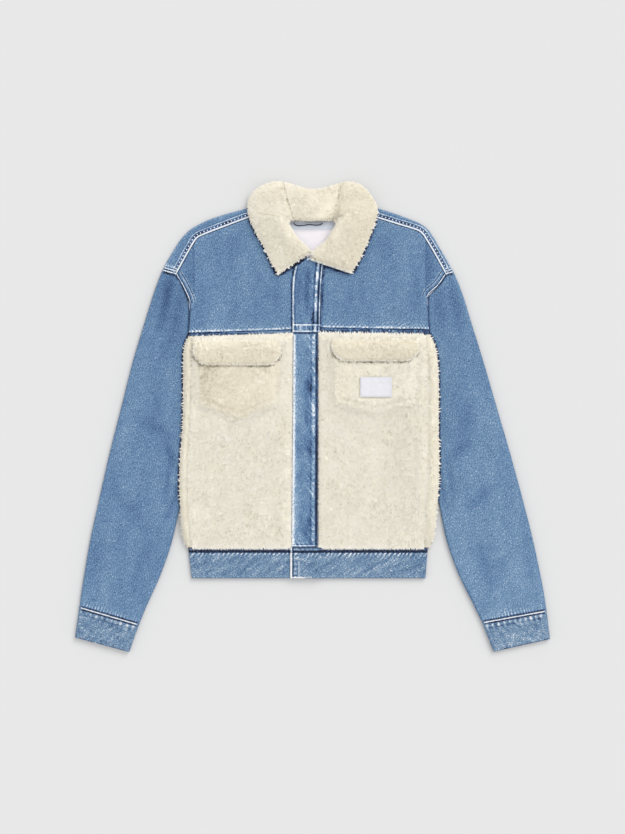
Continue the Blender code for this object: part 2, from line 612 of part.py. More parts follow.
def add_side_panel(side):
    """From the front side seam round the folded edge to the back: a thick C in section."""
    count = SIDE_ROWS
    edge, seam = side_rows(side, count)
    outer, inner = [], []
    for row, (at_edge, at_seam) in enumerate(zip(edge, seam)):
        inward = np.sign(at_seam[0] - at_edge[0])
        at_seam = at_seam - np.array([inward * SEAM_GAP / 2, 0])
        under = float(lift(at_edge[None])[0])
        fall = 2.6 if row in (0, count - 1) else 0.0
        top = under + FRONT_BASE + SHERPA - 0.4 - fall
        reach = abs(at_seam[0] - at_edge[0])
        middle, half = (top + under) / 2, (top - under) / 2
        hollow = under + FRONT_BASE
        ring = [(reach, top, reach, hollow),
                (0.55 * reach, top - 0.5, 0.75 * reach, hollow),
                (0.16 * reach, middle + half * 0.62, 0.62 * reach, hollow - 0.3),
                (0.0, middle, 0.56 * reach, hollow - 0.8),
                (0.16 * reach, middle - half * 0.62, 0.62 * reach, under + SHERPA_UNDER + 0.1)]
        outer_row = [(at_edge[0] + inward * s, at_edge[1], z) for s, z, _, _ in ring]
        inner_row = [(at_edge[0] + inward * s, at_edge[1], z) for _, _, s, z in ring]
        for s in np.linspace(reach * 0.6, SIDE_WRAP, 4):
            below = at_edge + np.array([inward * s, 0])
            low = float(lift(below[None])[0])
            outer_row.append((*below, low))
            aside = inward * (0.2 * reach if s < reach else 0)
            inner_row.append((below[0] + aside, below[1], low + SHERPA_UNDER * 0.7))
        outer.append(outer_row)
        inner.append(inner_row)
    add_solid(f"side_panel_{side}", np.array(outer), np.array(inner), "sherpa")


def add_pocket(side):
    shape = POCKET[side]
    first, last = spline(shape["outer"], 12), spline(shape["inner"], 12)
    point = np.array(shape["point"], float)
    half = 6
    to_point = resample(np.array([first[-1], point]), half + 1)
    bottom = np.vstack([to_point, resample(np.array([point, last[-1]]), half + 1)[1:]])
    top = resample(np.array([first[0], last[0]]), 2 * half + 1)
    plan = edged_patch(top, bottom, first, last, 12, 11, 7.0)
    base = pile_top(plan) + LAYER_GAP
    drop = edge_drop(plan, POCKET_PILE - 1.6, 7.0)
    add_solid(f"pocket_{side}", at_height(plan, base + POCKET_PILE - drop), at_height(plan, base), "sherpa")


def add_flap(side):
    shape = FLAP[side]
    first, last = spline(shape["outer"], 9), spline(shape["inner"], 9)
    top, bottom = np.array([first[0], last[0]]), np.array([first[-1], last[-1]])
    plan = edged_patch(top, bottom, first, last, 12, 9, 7.0)
    seam_y = shape["outer"][0][1]
    over_pocket = smoothstep((seam_y - plan[..., 1] - 4) / 14)
    base = pile_top(plan) + LAYER_GAP + over_pocket * (POCKET_PILE + LAYER_GAP)
    top = base + FLAP_PILE - edge_drop(plan, FLAP_PILE - 1.6, 7.0)
    add_solid(f"pocket_flap_{side}", at_height(plan, top), at_height(plan, base), "sherpa")


def collar_rows(count):
    """The collar's sections, made denser and smooth."""
    return spline([tuple(row) for row in COLLAR], count)


def add_collar():
    rows = collar_rows(35)
    across = np.array([column.place for column in COLLAR_PROFILE])
    rise = np.array([column.rise for column in COLLAR_PROFILE])
    outer_edge, inner_edge = rows[:, None, 0:2], rows[:, None, 2:4]
    plan = outer_edge + (inner_edge - outer_edge) * across[None, :, None]
    base = rows[:, 4:5] + (rows[:, 5:6] - rows[:, 4:5]) * across[None, :] + UNDER_COLLAR + SEAM_GAP
    height = base + (rows[:, 6:7] - base) * rise[None, :]
    for end in (0, -1):
        height[end] = base[end] + (height[end] - base[end]) * 0.5
    add_solid("collar", at_height(plan, height), at_height(plan, base), "sherpa")


def add_under_collar():
    rows = collar_rows(35)
    across = np.linspace(UNDER_COLLAR_INSET, 1 - UNDER_COLLAR_INSET, 3)
    outer_edge, inner_edge = rows[:, None, 0:2], rows[:, None, 2:4]
    plan = outer_edge + (inner_edge - outer_edge) * across[None, :, None]
    base = rows[:, 4:5] + (rows[:, 5:6] - rows[:, 4:5]) * across[None, :]
    add_solid("under_collar", at_height(plan, base + UNDER_COLLAR), at_height(plan, base), "denim")


# ---- Trim ----


def add_label(name, bounds, base_height, finish):
    x0, x1, y0, y1 = bounds
    plan = np.stack(np.meshgrid(np.linspace(x0, x1, 6), np.linspace(y1, y0, 4)), axis=-1)
    base = base_height(plan) + SEAM_GAP
    add_solid(name, at_height(plan, base + LABEL), at_height(plan, base), finish)


def add_hanger_loop():
    middle = spline(HANGER_LOOP, 21)
    half = 1.9
    plan = np.stack([middle + np.array([0, half]), middle - np.array([0, half])], axis=1)
    base = DENIM + SEAM_GAP
    add_solid("hanger_loop", at_height(plan, base + TAPE), at_height(plan, base), "tape")


def main():
    for obj in list(bpy.data.objects):
        bpy.data.objects.remove(obj)
    add_back_yoke()
    add_back_panel()
    add_waistband()
    for side in ("right", "left"):
        add_front_yoke(side)
        add_sleeve(side)
        add_cuff(side)
        add_side_panel(side)
        add_front_panel(side)
        add_pocket(side)
        add_flap(side)
    add_placket("placket_upper", PLACKET_UPPER, PLACKET_TOP, DENIM_DOUBLE, 9)
    add_placket("placket_lower", PLACKET_LOWER, PLACKET_TOP, PLACKET_TOP - FRONT_BASE, 13)
    add_under_collar()
    add_collar()
    add_hanger_loop()
    add_label("neck_label", NECK_LABEL, lambda at: np.full(at.shape[:-1], DENIM), "label")
    add_label("chest_label", CHEST_LABEL, lambda at: pile_top(at) + LAYER_GAP + POCKET_PILE, "label")


main()
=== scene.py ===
"""How the sherpa lined jacket looks: its cloth, pile and sewing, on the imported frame.

X is across the jacket and Y runs from hem to collar, as in the frame; "right" is the wearer's right,
at -X. Tables and sizes are in millimetres: they repeat the outlines and heights of the part's source,
and the grids here have finer steps. Every mesh is made in metres.
"""

from collections import namedtuple

import bpy
import numpy as np
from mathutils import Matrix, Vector
from mathutils.bvhtree import BVHTree
from mathutils.kdtree import KDTree


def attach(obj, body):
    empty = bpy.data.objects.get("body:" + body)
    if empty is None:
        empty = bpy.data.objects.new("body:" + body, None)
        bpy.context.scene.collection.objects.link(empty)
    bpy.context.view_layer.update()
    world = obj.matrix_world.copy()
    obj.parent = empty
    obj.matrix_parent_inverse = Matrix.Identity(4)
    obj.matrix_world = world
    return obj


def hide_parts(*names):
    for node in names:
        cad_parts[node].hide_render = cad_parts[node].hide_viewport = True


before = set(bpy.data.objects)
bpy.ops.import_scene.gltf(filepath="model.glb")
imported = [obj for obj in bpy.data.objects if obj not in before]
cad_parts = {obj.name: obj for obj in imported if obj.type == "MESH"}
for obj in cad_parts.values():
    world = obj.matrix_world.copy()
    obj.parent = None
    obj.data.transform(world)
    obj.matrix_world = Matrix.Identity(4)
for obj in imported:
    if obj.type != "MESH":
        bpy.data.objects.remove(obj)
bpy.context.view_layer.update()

MM = 0.001
STEP = 4  # outer grid steps to each inner one
INWARD = {"right": 1, "left": -1}  # the way in X from each side of the jacket to its middle

# How thick each cloth is
DENIM = 1.6
DENIM_DOUBLE = 3.0
SLEEVE_WALL = 1.8
CUFF_WALL = 2.6
UNDER_COLLAR = 1.2
SHERPA = 7.0
SHERPA_UNDER = 2.2  # where it is pressed under the jacket
POCKET_PILE = 4.2
FLAP_PILE = 4.6
PILE_DEPTH = 2.9  # how far the pile's backing lies below its tips
LABEL = 1.0
TAPE = 2.2

# Gaps between pieces, and heights above the surface that the jacket lies on
SEAM_GAP = 0.3
ARMHOLE_GAP = 0.8
LAYER_GAP = 0.6
BODY_GAP = 2.0
FRONT_BASE = DENIM + BODY_GAP
YOKE_TOP = FRONT_BASE + DENIM
PLACKET_TOP = YOKE_TOP + SEAM_GAP + DENIM_DOUBLE
CUFF_HEIGHT = 8.6
BAND_HEIGHT = 7.4
SLEEVE_FLAT = 5.4  # a sleeve's height where the body lies on it
SLEEVE_FULL = 8.2
SLEEVE_SWELL = 40.0  # how far from there it is as high as that
OVER_SLEEVE = 9.0  # how far beyond a sleeve the body stays up
SETTLE = 52.0  # and how far beyond that it takes to come down

# Where hidden and lapping parts end
BACK_YOKE_SEAM_Y = 214.0
BACK_PANEL_HEM_Y = -215.4
SIDE_WRAP = 32.0
LIP = 2.4
UNDER_COLLAR_INSET = 0.035  # in widths of the collar

SHOULDER_FOLD = {
    "right": [(-248.5, 240), (-238, 260), (-220, 289), (-206, 305), (-190, 316), (-160, 329), (-108, 343.8),
              (-83.5, 351.5)],
    "left": [(233.5, 237.5), (212, 274.5), (199.5, 296), (190, 309), (176.5, 319), (158, 326.5),
             (139.5, 333.5), (107, 344), (81.5, 351.5)],
}
SHOULDER_SEAM = {
    "right": [(-225.5, 233.5), (-207, 267), (-195.5, 287), (-190, 294.6), (-181, 299.2), (-147.5, 312.2),
              (-107, 327.5), (-83.5, 335)],
    "left": [(220.5, 233.5), (201.3, 268.5), (186, 294), (180.5, 302), (173, 307), (142.5, 316.5),
             (107, 327.5), (81.5, 335)],
}
YOKE_SIDE = {
    "right": [(-225.5, 233.5), (-213, 212), (-203, 187.5), (-203.5, 162.5), (-204.5, 132.4)],
    "left": [(220.5, 233.5), (208, 216), (191, 198), (191.5, 167.5), (193, 134.9)],
}
YOKE_CENTRE = {
    "right": [(-83.5, 335), (-67, 314.5), (-45.5, 286.5), (-26, 260), (-22, 230), (-22, 138.4)],
    "left": [(81.5, 335), (67, 314.5), (45.5, 286.5), (20, 258), (-4, 232), (-6, 138.4)],
}
BACK_NECK = [(-83.5, 341), (-62, 328), (-30, 323.5), (0, 322), (30, 323.5), (60, 328), (81.5, 341)]
SLEEVE_CAP = {
    "right": [(-248.5, 240), (-237, 236.6), (-225.5, 233.5), (-213, 212), (-203, 187.5), (-190, 152),
              (-177, 113)],
    "left": [(233.5, 237.5), (227, 235.3), (220.5, 233.5), (208, 216), (191, 198), (177, 156), (164, 113)],
}
SLEEVE_OUTER = {
    "right": [(-248.5, 240), (-261.5, 205.5), (-278, 152.5), (-296, 93), (-316, 14), (-336, -65),
              (-354, -144.5), (-367, -204), (-380.5, -283), (-384.5, -312.5)],
    "left": [(233.5, 237.5), (246.5, 205.5), (263, 152.5), (281.5, 93), (304.5, 14), (327.5, -65),
             (349, -144.5), (364, -204), (380.5, -283), (386, -318.5)],
}
SLEEVE_INNER = {
    "right": [(-177, 113), (-179, 73.5), (-184, 24), (-192, -32), (-203, -88.5), (-217, -142.5),
              (-233.5, -212), (-251.5, -263), (-274.5, -314.5), (-285.5, -341.5)],
    "left": [(164, 113), (167, 73.5), (173, 24), (182.5, -32), (194.5, -88.5), (207, -136), (221, -204),
             (240, -258), (264, -307.5), (279, -338)],
}
CUFF = {
    "right": [(-384.6, -312.9), (-285.7, -341.9), (-392, -364.5), (-302.5, -388.5)],
    "left": [(386.2, -318.9), (279.2, -338.4), (392, -367), (298.5, -388)],
}
# y, folded side edge and side seam, from the yoke down to the waistband
BODY_SIDE = {
    "right": [(131.6, -205, -196), (118, -210.5, -198), (93, -213, -199), (27, -213, -201),
              (-22.5, -214.5, -203), (-72, -218.5, -206), (-121.5, -219, -207), (-162.5, -217, -205),
              (-195.5, -214.5, -202), (-215.4, -208, -199)],
    "left": [(134.1, 194, 184), (119.5, 201, 188), (96.5, 206, 190), (60, 208, 192), (-22.5, 208, 192),
             (-72, 209, 191), (-113, 208, 190), (-154.5, 205, 188), (-195.5, 201, 186),
             (-215.4, 194, 184)],
}
PLACKET_UPPER = {"side": [(-17.5, 262), (-28, 248), (-33, 217), (-33, 138.7)],
                 "other": [(20, 262), (17, 240), (14.5, 205), (12.8, 138.7)]}
PLACKET_LOWER = {"side": [(-31.7, 138.2), (-33.0, -29), (-34.6, -215.4)],
                 "other": [(9.2, 138.2), (9, 19), (8.2, -215.4)]}
FRONT_EDGE = {"right": (-32.8, -35.4), "left": (9.8, 9.8)}
FRONT_TOP_Y = 137.3
POCKET = {
    "right": {"outer": [(-187, 108), (-186, 60), (-184, 21)], "inner": [(-53, 108), (-55, 60), (-58, 24)],
              "point": (-119.5, -2)},
    "left": {"outer": [(177, 108), (175, 60), (172.5, 24)], "inner": [(35, 108), (37, 60), (38, 24)],
             "point": (105, 7)},
}
FLAP = {
    "right": {"outer": [(-196, 128), (-196, 104), (-188.5, 84.5)],
              "inner": [(-52, 128), (-52, 104), (-60, 84.5)]},
    "left": {"outer": [(176, 130.5), (175, 108), (166, 91)],
             "inner": [(31.5, 130.5), (31.5, 110), (42, 91)]},
}
CHEST_LABEL = (78.5, 130.5, 32.0, 65.0)
NECK_LABEL = (-38.0, 40.0, 264.0, 307.5)
HANGER_LOOP = [(-30.5, 320.2), (-28.4, 317.9), (-24, 316.3), (-14, 316.9), (-4.5, 318.0), (6, 316.9),
               (12.5, 317.9), (16, 320.2)]
BAND_TOP_Y = -216.0
BAND_HEM_Y = -267.0
BAND_SIDES = {"right": (-205.4, -199.5), "left": (190.5, 186.5)}
BAND_RIGHT_END = 6.0
BAND_LEFT_END = -36.5
BAND_STEP = 12.0
# The collar: outer and inner edge, height of the underside at each, and of the crown
COLLAR = [
    (-56.5, 234.5, -5.5, 269.5, 9.2, 9.6, 19.5), (-68.5, 254.5, -6.5, 277, 7.4, 9.0, 21.5),
    (-81.5, 282, -22, 292.5, 5.6, 7.6, 24), (-94, 304, -33, 308, 5.6, 5.8, 26),
    (-104, 327, -38.5, 317, 5.6, 5.6, 27), (-107.5, 347, -41.5, 321, 5.6, 5.6, 26),
    (-100.5, 368, -42, 322.5, 5.6, 5.6, 24), (-81.5, 382.5, -41, 323.3, 4.6, 5.6, 22),
    (-58.5, 388.5, -37, 323.4, 1.5, 4.0, 19.5), (-37, 385, -29, 322.8, 0, 2.2, 14.5),
    (-18, 378.5, -15, 322.2, 0, 2.2, 18.5), (1, 375.5, 1, 322, 0, 2.2, 20),
    (20, 378, 17, 322.3, 0, 2.2, 18.5), (38, 383.5, 31, 323, 0, 2.2, 14.5),
    (58.5, 388, 41, 325, 1.5, 4.0, 19.5), (81, 381.5, 46, 328, 4.6, 5.6, 22),
    (97, 364, 47.5, 329, 5.6, 5.6, 24), (107.5, 344, 47, 327, 5.6, 5.6, 26),
    (104, 322.5, 41, 320, 5.6, 5.6, 27), (97, 303, 33, 307.5, 5.6, 5.8, 26),
    (86, 276, 21.5, 289, 5.6, 7.6, 24), (75.5, 254.5, 2.0, 273.5, 7.4, 9.6, 22),
    (64, 237, -2.5, 259, 9.2, 11.2, 20),
]
# Across the collar from its outer to its inner edge: place, and how high the crown has risen
COLLAR_PROFILE = [(0.0, 0.18), (0.03, 0.36), (0.1, 0.52), (0.28, 0.66), (0.5, 0.8), (0.72, 0.96),
                  (0.88, 1.0), (0.97, 0.84), (1.0, 0.62)]

# Soft creases, uneven in length, depth and spacing. Depth is how far they press in: a ridge is negative
Fold = namedtuple("Fold", "x0 y0 x1 y1 depth half")
SLEEVE_FOLDS = [
    Fold(-300, -2, -232, -30, 0.9, 9), Fold(-246, -38, -222, -92, 1.1, 8), Fold(-250, 60, -262, -20, 0.6, 12),
    Fold(-330, -120, -280, -180, 0.6, 12), Fold(262, 30, 240, -60, 0.6, 12),
    Fold(300, -110, 262, -150, 0.9, 10), Fold(226, -70, 262, -40, 0.9, 8),
    Fold(330, -220, 300, -270, 0.6, 12), Fold(-231, 238, -254, 140, 1.5, 9),
    Fold(-219, 196, -226, 128, 0.8, 8), Fold(-252, 205, -284, 88, -0.6, 14),
    Fold(-232, -72, -246, -140, 1.0, 6), Fold(-222, -60, -233, -122, -0.7, 6),
    Fold(-215, -96, -240, -170, 1.0, 5), Fold(-290, 40, -318, -60, -0.5, 14),
    Fold(-270, -200, -300, -290, 0.7, 9), Fold(-352, -190, -366, -280, 0.5, 9),
    Fold(-318, -215, -338, -300, -0.5, 10), Fold(228, 224, 250, 128, 1.3, 11),
    Fold(206, 200, 214, 140, 0.8, 8), Fold(244, 196, 272, 90, -0.6, 13),
    Fold(222, -66, 232, -150, 0.9, 6), Fold(206, -80, 222, -160, 0.9, 5), Fold(214, -70, 226, -136, -0.6, 6),
    Fold(286, 30, 316, -80, -0.5, 14), Fold(268, -196, 296, -288, 0.7, 9),
    Fold(344, -170, 362, -270, 0.5, 9), Fold(318, -220, 336, -300, -0.5, 10),
]
YOKE_FOLDS = [
    Fold(-203, 290, -206, 215, 0.3, 7), Fold(-188, 250, -182, 170, 0.4, 10), Fold(192, 282, 190, 210, 0.3, 7),
    Fold(176, 262, 168, 176, 0.4, 10), Fold(-201, 240, -203.5, 140, 0.8, 2.4),
    Fold(192, 292, 191.5, 150, 0.6, 2.6), Fold(-120, 300, -146, 238, 0.4, 12),
    Fold(-70, 226, -52, 168, 0.4, 10), Fold(118, 306, 136, 250, 0.4, 11), Fold(70, 220, 48, 160, 0.4, 10),
    Fold(-168, 214, -150, 158, -0.35, 12), Fold(150, 220, 134, 160, -0.35, 12),
]
BACK_FOLDS = [
    Fold(-120, 180, -96, 60, 0.6, 10), Fold(-60, 120, -74, -40, 0.5, 13), Fold(20, 190, 12, 70, 0.45, 12),
    Fold(96, 170, 112, 20, 0.6, 11), Fold(54, 20, 40, -120, 0.5, 12), Fold(-130, -40, -104, -160, 0.55, 10),
    Fold(124, -60, 98, -180, 0.5, 9), Fold(-20, -60, -8, -190, 0.4, 14),
]


# ---- Numbers ----


def smoothstep(t):
    t = np.clip(t, 0.0, 1.0)
    return t * t * (3 - 2 * t)


def steps(*runs):
    """Places from 0 to 1: each run is where it ends and how many steps it takes to get there."""
    places, start = [0.0], 0.0
    for stop, count in runs:
        places += list(np.linspace(start, stop, count + 1)[1:])
        start = stop
    return np.array(places)


def resample(line, count):
    """A line as count points at equal distances, or as points at given places from 0 to 1."""
    line = np.asarray(line, float)
    along = np.concatenate([[0], np.cumsum(np.linalg.norm(np.diff(line, axis=0), axis=1))])
    places = np.linspace(0, 1, count) if np.ndim(count) == 0 else np.asarray(count)
    return np.stack([np.interp(places * along[-1], along, line[:, k]) for k in range(line.shape[1])], axis=1)


def spline(points, count):
    """A smooth curve through the points, resampled."""
    points = np.asarray(points, float)
    ends = np.vstack([2 * points[0] - points[1], points, 2 * points[-1] - points[-2]])
    t = np.linspace(0, 1, 25)[:, None]
    pieces = []
    for a, b, c, d in zip(ends, ends[1:], ends[2:], ends[3:]):
        chord = np.linalg.norm(c - b)
        at_b = (c - a) * chord / (chord + np.linalg.norm(b - a))
        at_c = (d - b) * chord / (chord + np.linalg.norm(d - c))
        pieces.append((2 * t**3 - 3 * t**2 + 1) * b + (t**3 - 2 * t**2 + t) * at_b
                      + (3 * t**2 - 2 * t**3) * c + (t**3 - t**2) * at_c)
    return resample(np.vstack(pieces), count)


def patch(top, bottom, first, last):
    """A plan grid that fills four edges: top and bottom run across, first and last run down."""
    across = np.linspace(0, 1, len(top))[None, :, None]
    down = np.linspace(0, 1, len(first))[:, None, None]
    filled = (1 - down) * top[None] + down * bottom[None]
    filled = filled + (1 - across) * first[:, None] + across * last[:, None]
    corners = ((1 - down) * ((1 - across) * top[0] + across * top[-1])
               + down * ((1 - across) * bottom[0] + across * bottom[-1]))
    return filled - corners


def ruled(first, last, places):
    """A plan grid whose rows run straight from one curve to another."""
    places = places[None, :, None]
    return first[:, None] * (1 - places) + last[:, None] * places


def beside(points, line):
    """Each point's distance to a line, and how far along the line its nearest point lies."""
    line = np.asarray(line, float)
    nearest, along = np.full(points.shape[:-1], np.inf), np.zeros(points.shape[:-1])
    start = 0.0
    for a, b in zip(line, line[1:]):
        length = np.linalg.norm(b - a)
        if length == 0:
            continue
        t = np.clip(((points - a) @ (b - a)) / length**2, 0, 1)
        distance = np.linalg.norm(points - a - t[..., None] * (b - a), axis=-1)
        closer = distance < nearest
        nearest = np.where(closer, distance, nearest)
        along = np.where(closer, start + t * length, along)
        start += length
    return nearest, along


def inside(points, outline):
    hit = np.zeros(points.shape[:-1], bool)
    for a, b in zip(outline, np.roll(outline, -1, axis=0)):
        if a[1] != b[1]:
            crosses = (a[1] > points[..., 1]) != (b[1] > points[..., 1])
            edge_x = a[0] + (points[..., 1] - a[1]) * (b[0] - a[0]) / (b[1] - a[1])
            hit ^= crosses & (points[..., 0] < edge_x)
    return hit


def noise(points, size, seed, repeat=64):
    """Smooth noise from -1 to 1 over plan points, with bumps about size across."""
    table = np.random.default_rng(seed).uniform(-1, 1, (repeat, repeat))
    at = points / np.asarray(size, float) + 10.0 * repeat
    cell = np.floor(at).astype(int)
    part = smoothstep(at - cell)
    x0, y0 = cell[..., 0] % repeat, cell[..., 1] % repeat
    x1, y1 = (x0 + 1) % repeat, (y0 + 1) % repeat
    low = table[x0, y0] * (1 - part[..., 0]) + table[x1, y0] * part[..., 0]
    high = table[x0, y1] * (1 - part[..., 0]) + table[x1, y1] * part[..., 0]
    return low * (1 - part[..., 1]) + high * part[..., 1]


def noise_along(along, size, seed, lane=7.3):
    """The noise at distances along one lane of it."""
    return noise(np.stack([along, np.full_like(along, lane)], axis=-1), size, seed)


def turned(points, degrees):
    """Plan points in axes turned anticlockwise."""
    c, s = np.cos(np.radians(degrees)), np.sin(np.radians(degrees))
    x, y = points[..., 0], points[..., 1]
    return np.stack([x * c + y * s, y * c - x * s], axis=-1)


def offset(line, distance):
    """A plan line moved sideways, to the left of its direction."""
    line = np.asarray(line, float)
    ahead = np.gradient(line, axis=0)
    ahead /= np.linalg.norm(ahead, axis=1, keepdims=True)
    return line + distance * np.stack([-ahead[:, 1], ahead[:, 0]], axis=1)


def at_height(plan, height):
    return np.concatenate([plan, np.broadcast_to(height, plan.shape[:-1])[..., None]], axis=-1)


def slab(plan, height, base, least=0.3):
    """The upper and lower side of a piece with a flat underside, nowhere thinner than least."""
    return at_height(plan, np.maximum(height, base + least)), at_height(plan, base)


def cells(grid):
    """The four corners of each cell of a grid, in order round it."""
    return grid[:-1, :-1], grid[:-1, 1:], grid[1:, 1:], grid[1:, :-1]


def rim(grid):
    """The outline of a plan grid, closed."""
    return np.vstack([grid[0], grid[1:, -1], grid[-1, -2::-1], grid[-2::-1, 0]])


def shrink(grid, gap):
    """A plan grid whose outermost points are pulled in, towards their neighbours."""
    grid = grid.copy()
    for edge, within in ((np.s_[0], np.s_[1]), (np.s_[-1], np.s_[-2]), (np.s_[:, 0], np.s_[:, 1]),
                         (np.s_[:, -1], np.s_[:, -2])):
        inward = grid[within] - grid[edge]
        grid[edge] += inward * (gap / np.linalg.norm(inward, axis=-1, keepdims=True))
    return grid


# ---- Form ----


def tucked_outline(side):
    """Where a sleeve lies under the body."""
    outer = [YOKE_SIDE[side][2], YOKE_SIDE[side][3]] + [(edge, y) for y, edge, _ in BODY_SIDE[side][:8]]
    within = SLEEVE_CAP[side][5:] + SLEEVE_INNER[side][1:6]
    return np.array(outer + within[::-1], float)


TUCKED = [tucked_outline(side) for side in INWARD]


def distance_to_tuck(points):
    found = np.full(points.shape[:-1], np.inf)
    for outline in TUCKED:
        loop = np.vstack([outline, outline[:1]])
        found = np.minimum(found, np.where(inside(points, outline), 0, beside(points, loop)[0]))
    return found


def lift(points):
    """How high the underside of the body lies above the surface."""
    over_sleeve = SLEEVE_FLAT + SEAM_GAP
    return over_sleeve * (1 - smoothstep((distance_to_tuck(points) - OVER_SLEEVE) / SETTLE))


def pile_top(points):
    return lift(points) + FRONT_BASE + SHERPA


def sleeve_height(points):
    return SLEEVE_FLAT + (SLEEVE_FULL - SLEEVE_FLAT) * smoothstep(distance_to_tuck(points) / SLEEVE_SWELL)


def relief(points, folds):
    """How deep the soft creases press in, narrowing towards their ends."""
    depth = np.zeros(points.shape[:-1])
    for fold in folds:
        a, b = np.array([fold.x0, fold.y0], float), np.array([fold.x1, fold.y1], float)
        distance, along = beside(points, [a, b])
        taper = np.sin(np.pi * np.clip(along / np.linalg.norm(b - a), 0.06, 0.94)) ** 0.6
        depth += fold.depth * taper * np.exp(-((distance / fold.half) ** 2))
    return depth


def rounded(distance, radius):
    """How far a rounded edge has dropped at a distance in from it."""
    return radius * (1 - np.sqrt(1 - (1 - np.clip(distance / radius, 0, 1)) ** 2))


def armhole_x(side, y):
    cap = spline(SLEEVE_CAP[side], 40)[::-1]
    return np.interp(y, cap[:, 1], cap[:, 0])


def side_rows(side, count):
    """The body's folded edge and its side seam, as curves of count points."""
    return [spline([(row[k], row[0]) for row in BODY_SIDE[side]], count) for k in (1, 2)]


# ---- Wear beside the seams ----

# A line of sewing: how far its ripples reach, their spacing, how they lean, their height and how pale
Seam = namedtuple("Seam", "line reach pitch lean height wear")


class Finish:
    """What sewing and washing do to a piece at its plan points: height, pale wear and dark shade, part of it
    painted shadow.
    """

    def __init__(self, plan, seed):
        self.plan, self.seed = plan, seed
        self.height = 0.28 * noise(plan, 34, seed) + 0.14 * noise(plan, 13, seed + 1)
        self.wear = np.zeros(plan.shape[:-1])
        self.shade = np.zeros(plan.shape[:-1])

    def ripple(self, seam):
        """Puckers beside a seam."""
        self.seed += 10
        distance, along = beside(self.plan, seam.line)
        phase = 2 * np.pi * (along + seam.lean * distance) / seam.pitch
        phase = phase + 2.6 * noise_along(along, 2.6 * seam.pitch, self.seed)
        strength = 0.62 + 0.38 * noise_along(along, 1.7 * seam.pitch, self.seed + 1)
        reach = seam.reach * (1 + 0.45 * noise_along(along, 2.2 * seam.pitch, self.seed + 2))
        fade = np.exp(-((distance / reach) ** 1.6))
        wave = np.sin(phase) * strength * fade
        self.height = self.height + seam.height * wave
        self.wear = self.wear + seam.wear * (1.1 * np.clip(wave, 0, 1) ** 1.4 + 0.16 * fade)
        self.shade = self.shade + seam.wear * 0.8 * np.clip(-wave, 0, 1)
        return self

    def band(self, line, half, wear=0.0, shade=0.0, rise=0.0, speckle=0.0):
        """A pale, dark or raised line along a seam or a folded edge; the dark ones beside a lapping piece are
        painted shadow.
        """
        self.seed += 10
        distance, along = beside(self.plan, line)
        here = np.exp(-((distance / half) ** 4))
        patchy = 1 + speckle * noise_along(along, 4.5, self.seed)
        covered = 0.85 * here * (shade >= 1)  # a dark line hides the wear that is there already
        self.wear = self.wear * (1 - covered) + wear * here * patchy
        self.shade = self.shade + shade * here * patchy
        self.height = self.height + rise * here
        return self

    def rope(self, degrees, length, width, height, wear, shade, where=1.0):
        """The diagonal ridges that washing leaves in a doubled hem."""
        self.seed += 10
        axes = turned(self.plan, degrees)
        ridge = 0.72 * noise(axes, (length, width), self.seed) + 0.4 * noise(
            axes, (length * 0.55, width * 0.55), self.seed + 1)
        ridge = np.clip(1.5 * ridge, -1, 1) * where
        self.height = self.height + height * ridge
        self.wear = self.wear + wear * np.clip(ridge - 0.15, 0, 1) ** 1.2
        self.shade = self.shade + shade * np.clip(-ridge - 0.1, 0, 1)
        return self

    def tone(self, where, wear=0.0, shade=0.0):
        """Paler or darker cloth where where is 1."""
        self.wear, self.shade = self.wear + wear * where, self.shade + shade * where
        return self

    def crease(self, folds, wear=0.14, shade=0.36):
        """Soft folds: painted shade in the trough, painted light on the ridge."""
        depth = relief(self.plan, folds)
        self.height = self.height - depth
        self.shade = self.shade + shade * np.clip(depth, 0, 2)
        self.wear = self.wear + wear * np.clip(-depth, 0, 2)
        return self


# ---- Materials ----


def node(tree, kind, inputs=None, **settings):
    """A node with its settings; an input is a value, or a socket that feeds it."""
    made = tree.nodes.new("ShaderNode" + kind)
    for key, value in settings.items():
        setattr(made, key, value)
    for key, value in (inputs or {}).items():
        if isinstance(value, bpy.types.NodeSocket):
            tree.links.new(value, made.inputs[key])
        else:
            made.inputs[key].default_value = value
    return made


def maths(tree, operation, *values):
    return node(tree, "Math", dict(enumerate(values)), operation=operation).outputs[0]


def weighted(tree, start, *terms):
    """start plus the sum of weight times (socket - middle)."""
    total = start
    for socket, weight, middle in terms:
        scaled = maths(tree, "MULTIPLY_ADD", socket, weight, -weight * middle)
        total = maths(tree, "ADD", total, scaled)
    return total


def attribute(tree, name, output="Fac"):
    return node(tree, "Attribute", attribute_name=name).outputs[output]


def position(tree):
    return node(tree, "TexCoord").outputs["Object"]


def stretched(tree, vector, size, degrees=0.0, detail=2.0, roughness=0.5):
    """Noise whose grains are size = (across, along) millimetres, turned in the cloth."""
    rotated = node(tree, "Mapping", {"Vector": vector, "Rotation": (0, 0, np.radians(degrees))})
    across, along = (1 / (millimetres * MM) for millimetres in size)
    scaled = node(tree, "Mapping", {"Vector": rotated.outputs[0], "Scale": (across, along, across)})
    return node(tree, "TexNoise", {"Vector": scaled.outputs[0], "Scale": 1.0, "Detail": detail,
                                   "Roughness": roughness}).outputs["Fac"]


def bands(tree, vector, pitch, way="X", distortion=0.6, **settings):
    """Waves that are pitch millimetres apart."""
    scale = 2 * np.pi / (20 * pitch * MM)
    inputs = {"Vector": vector, "Scale": scale, "Distortion": distortion, **settings}
    return node(tree, "TexWave", inputs, wave_type="BANDS", bands_direction=way).outputs["Fac"]


def ramp(tree, factor, stops):
    made = node(tree, "ValToRGB", {"Fac": factor})
    elements = made.color_ramp.elements
    while len(elements) < len(stops):
        elements.new(0.5)
    for element, (position, color) in zip(elements, stops):
        element.position = position
        element.color = (*color, 1)
    return made.outputs["Color"]


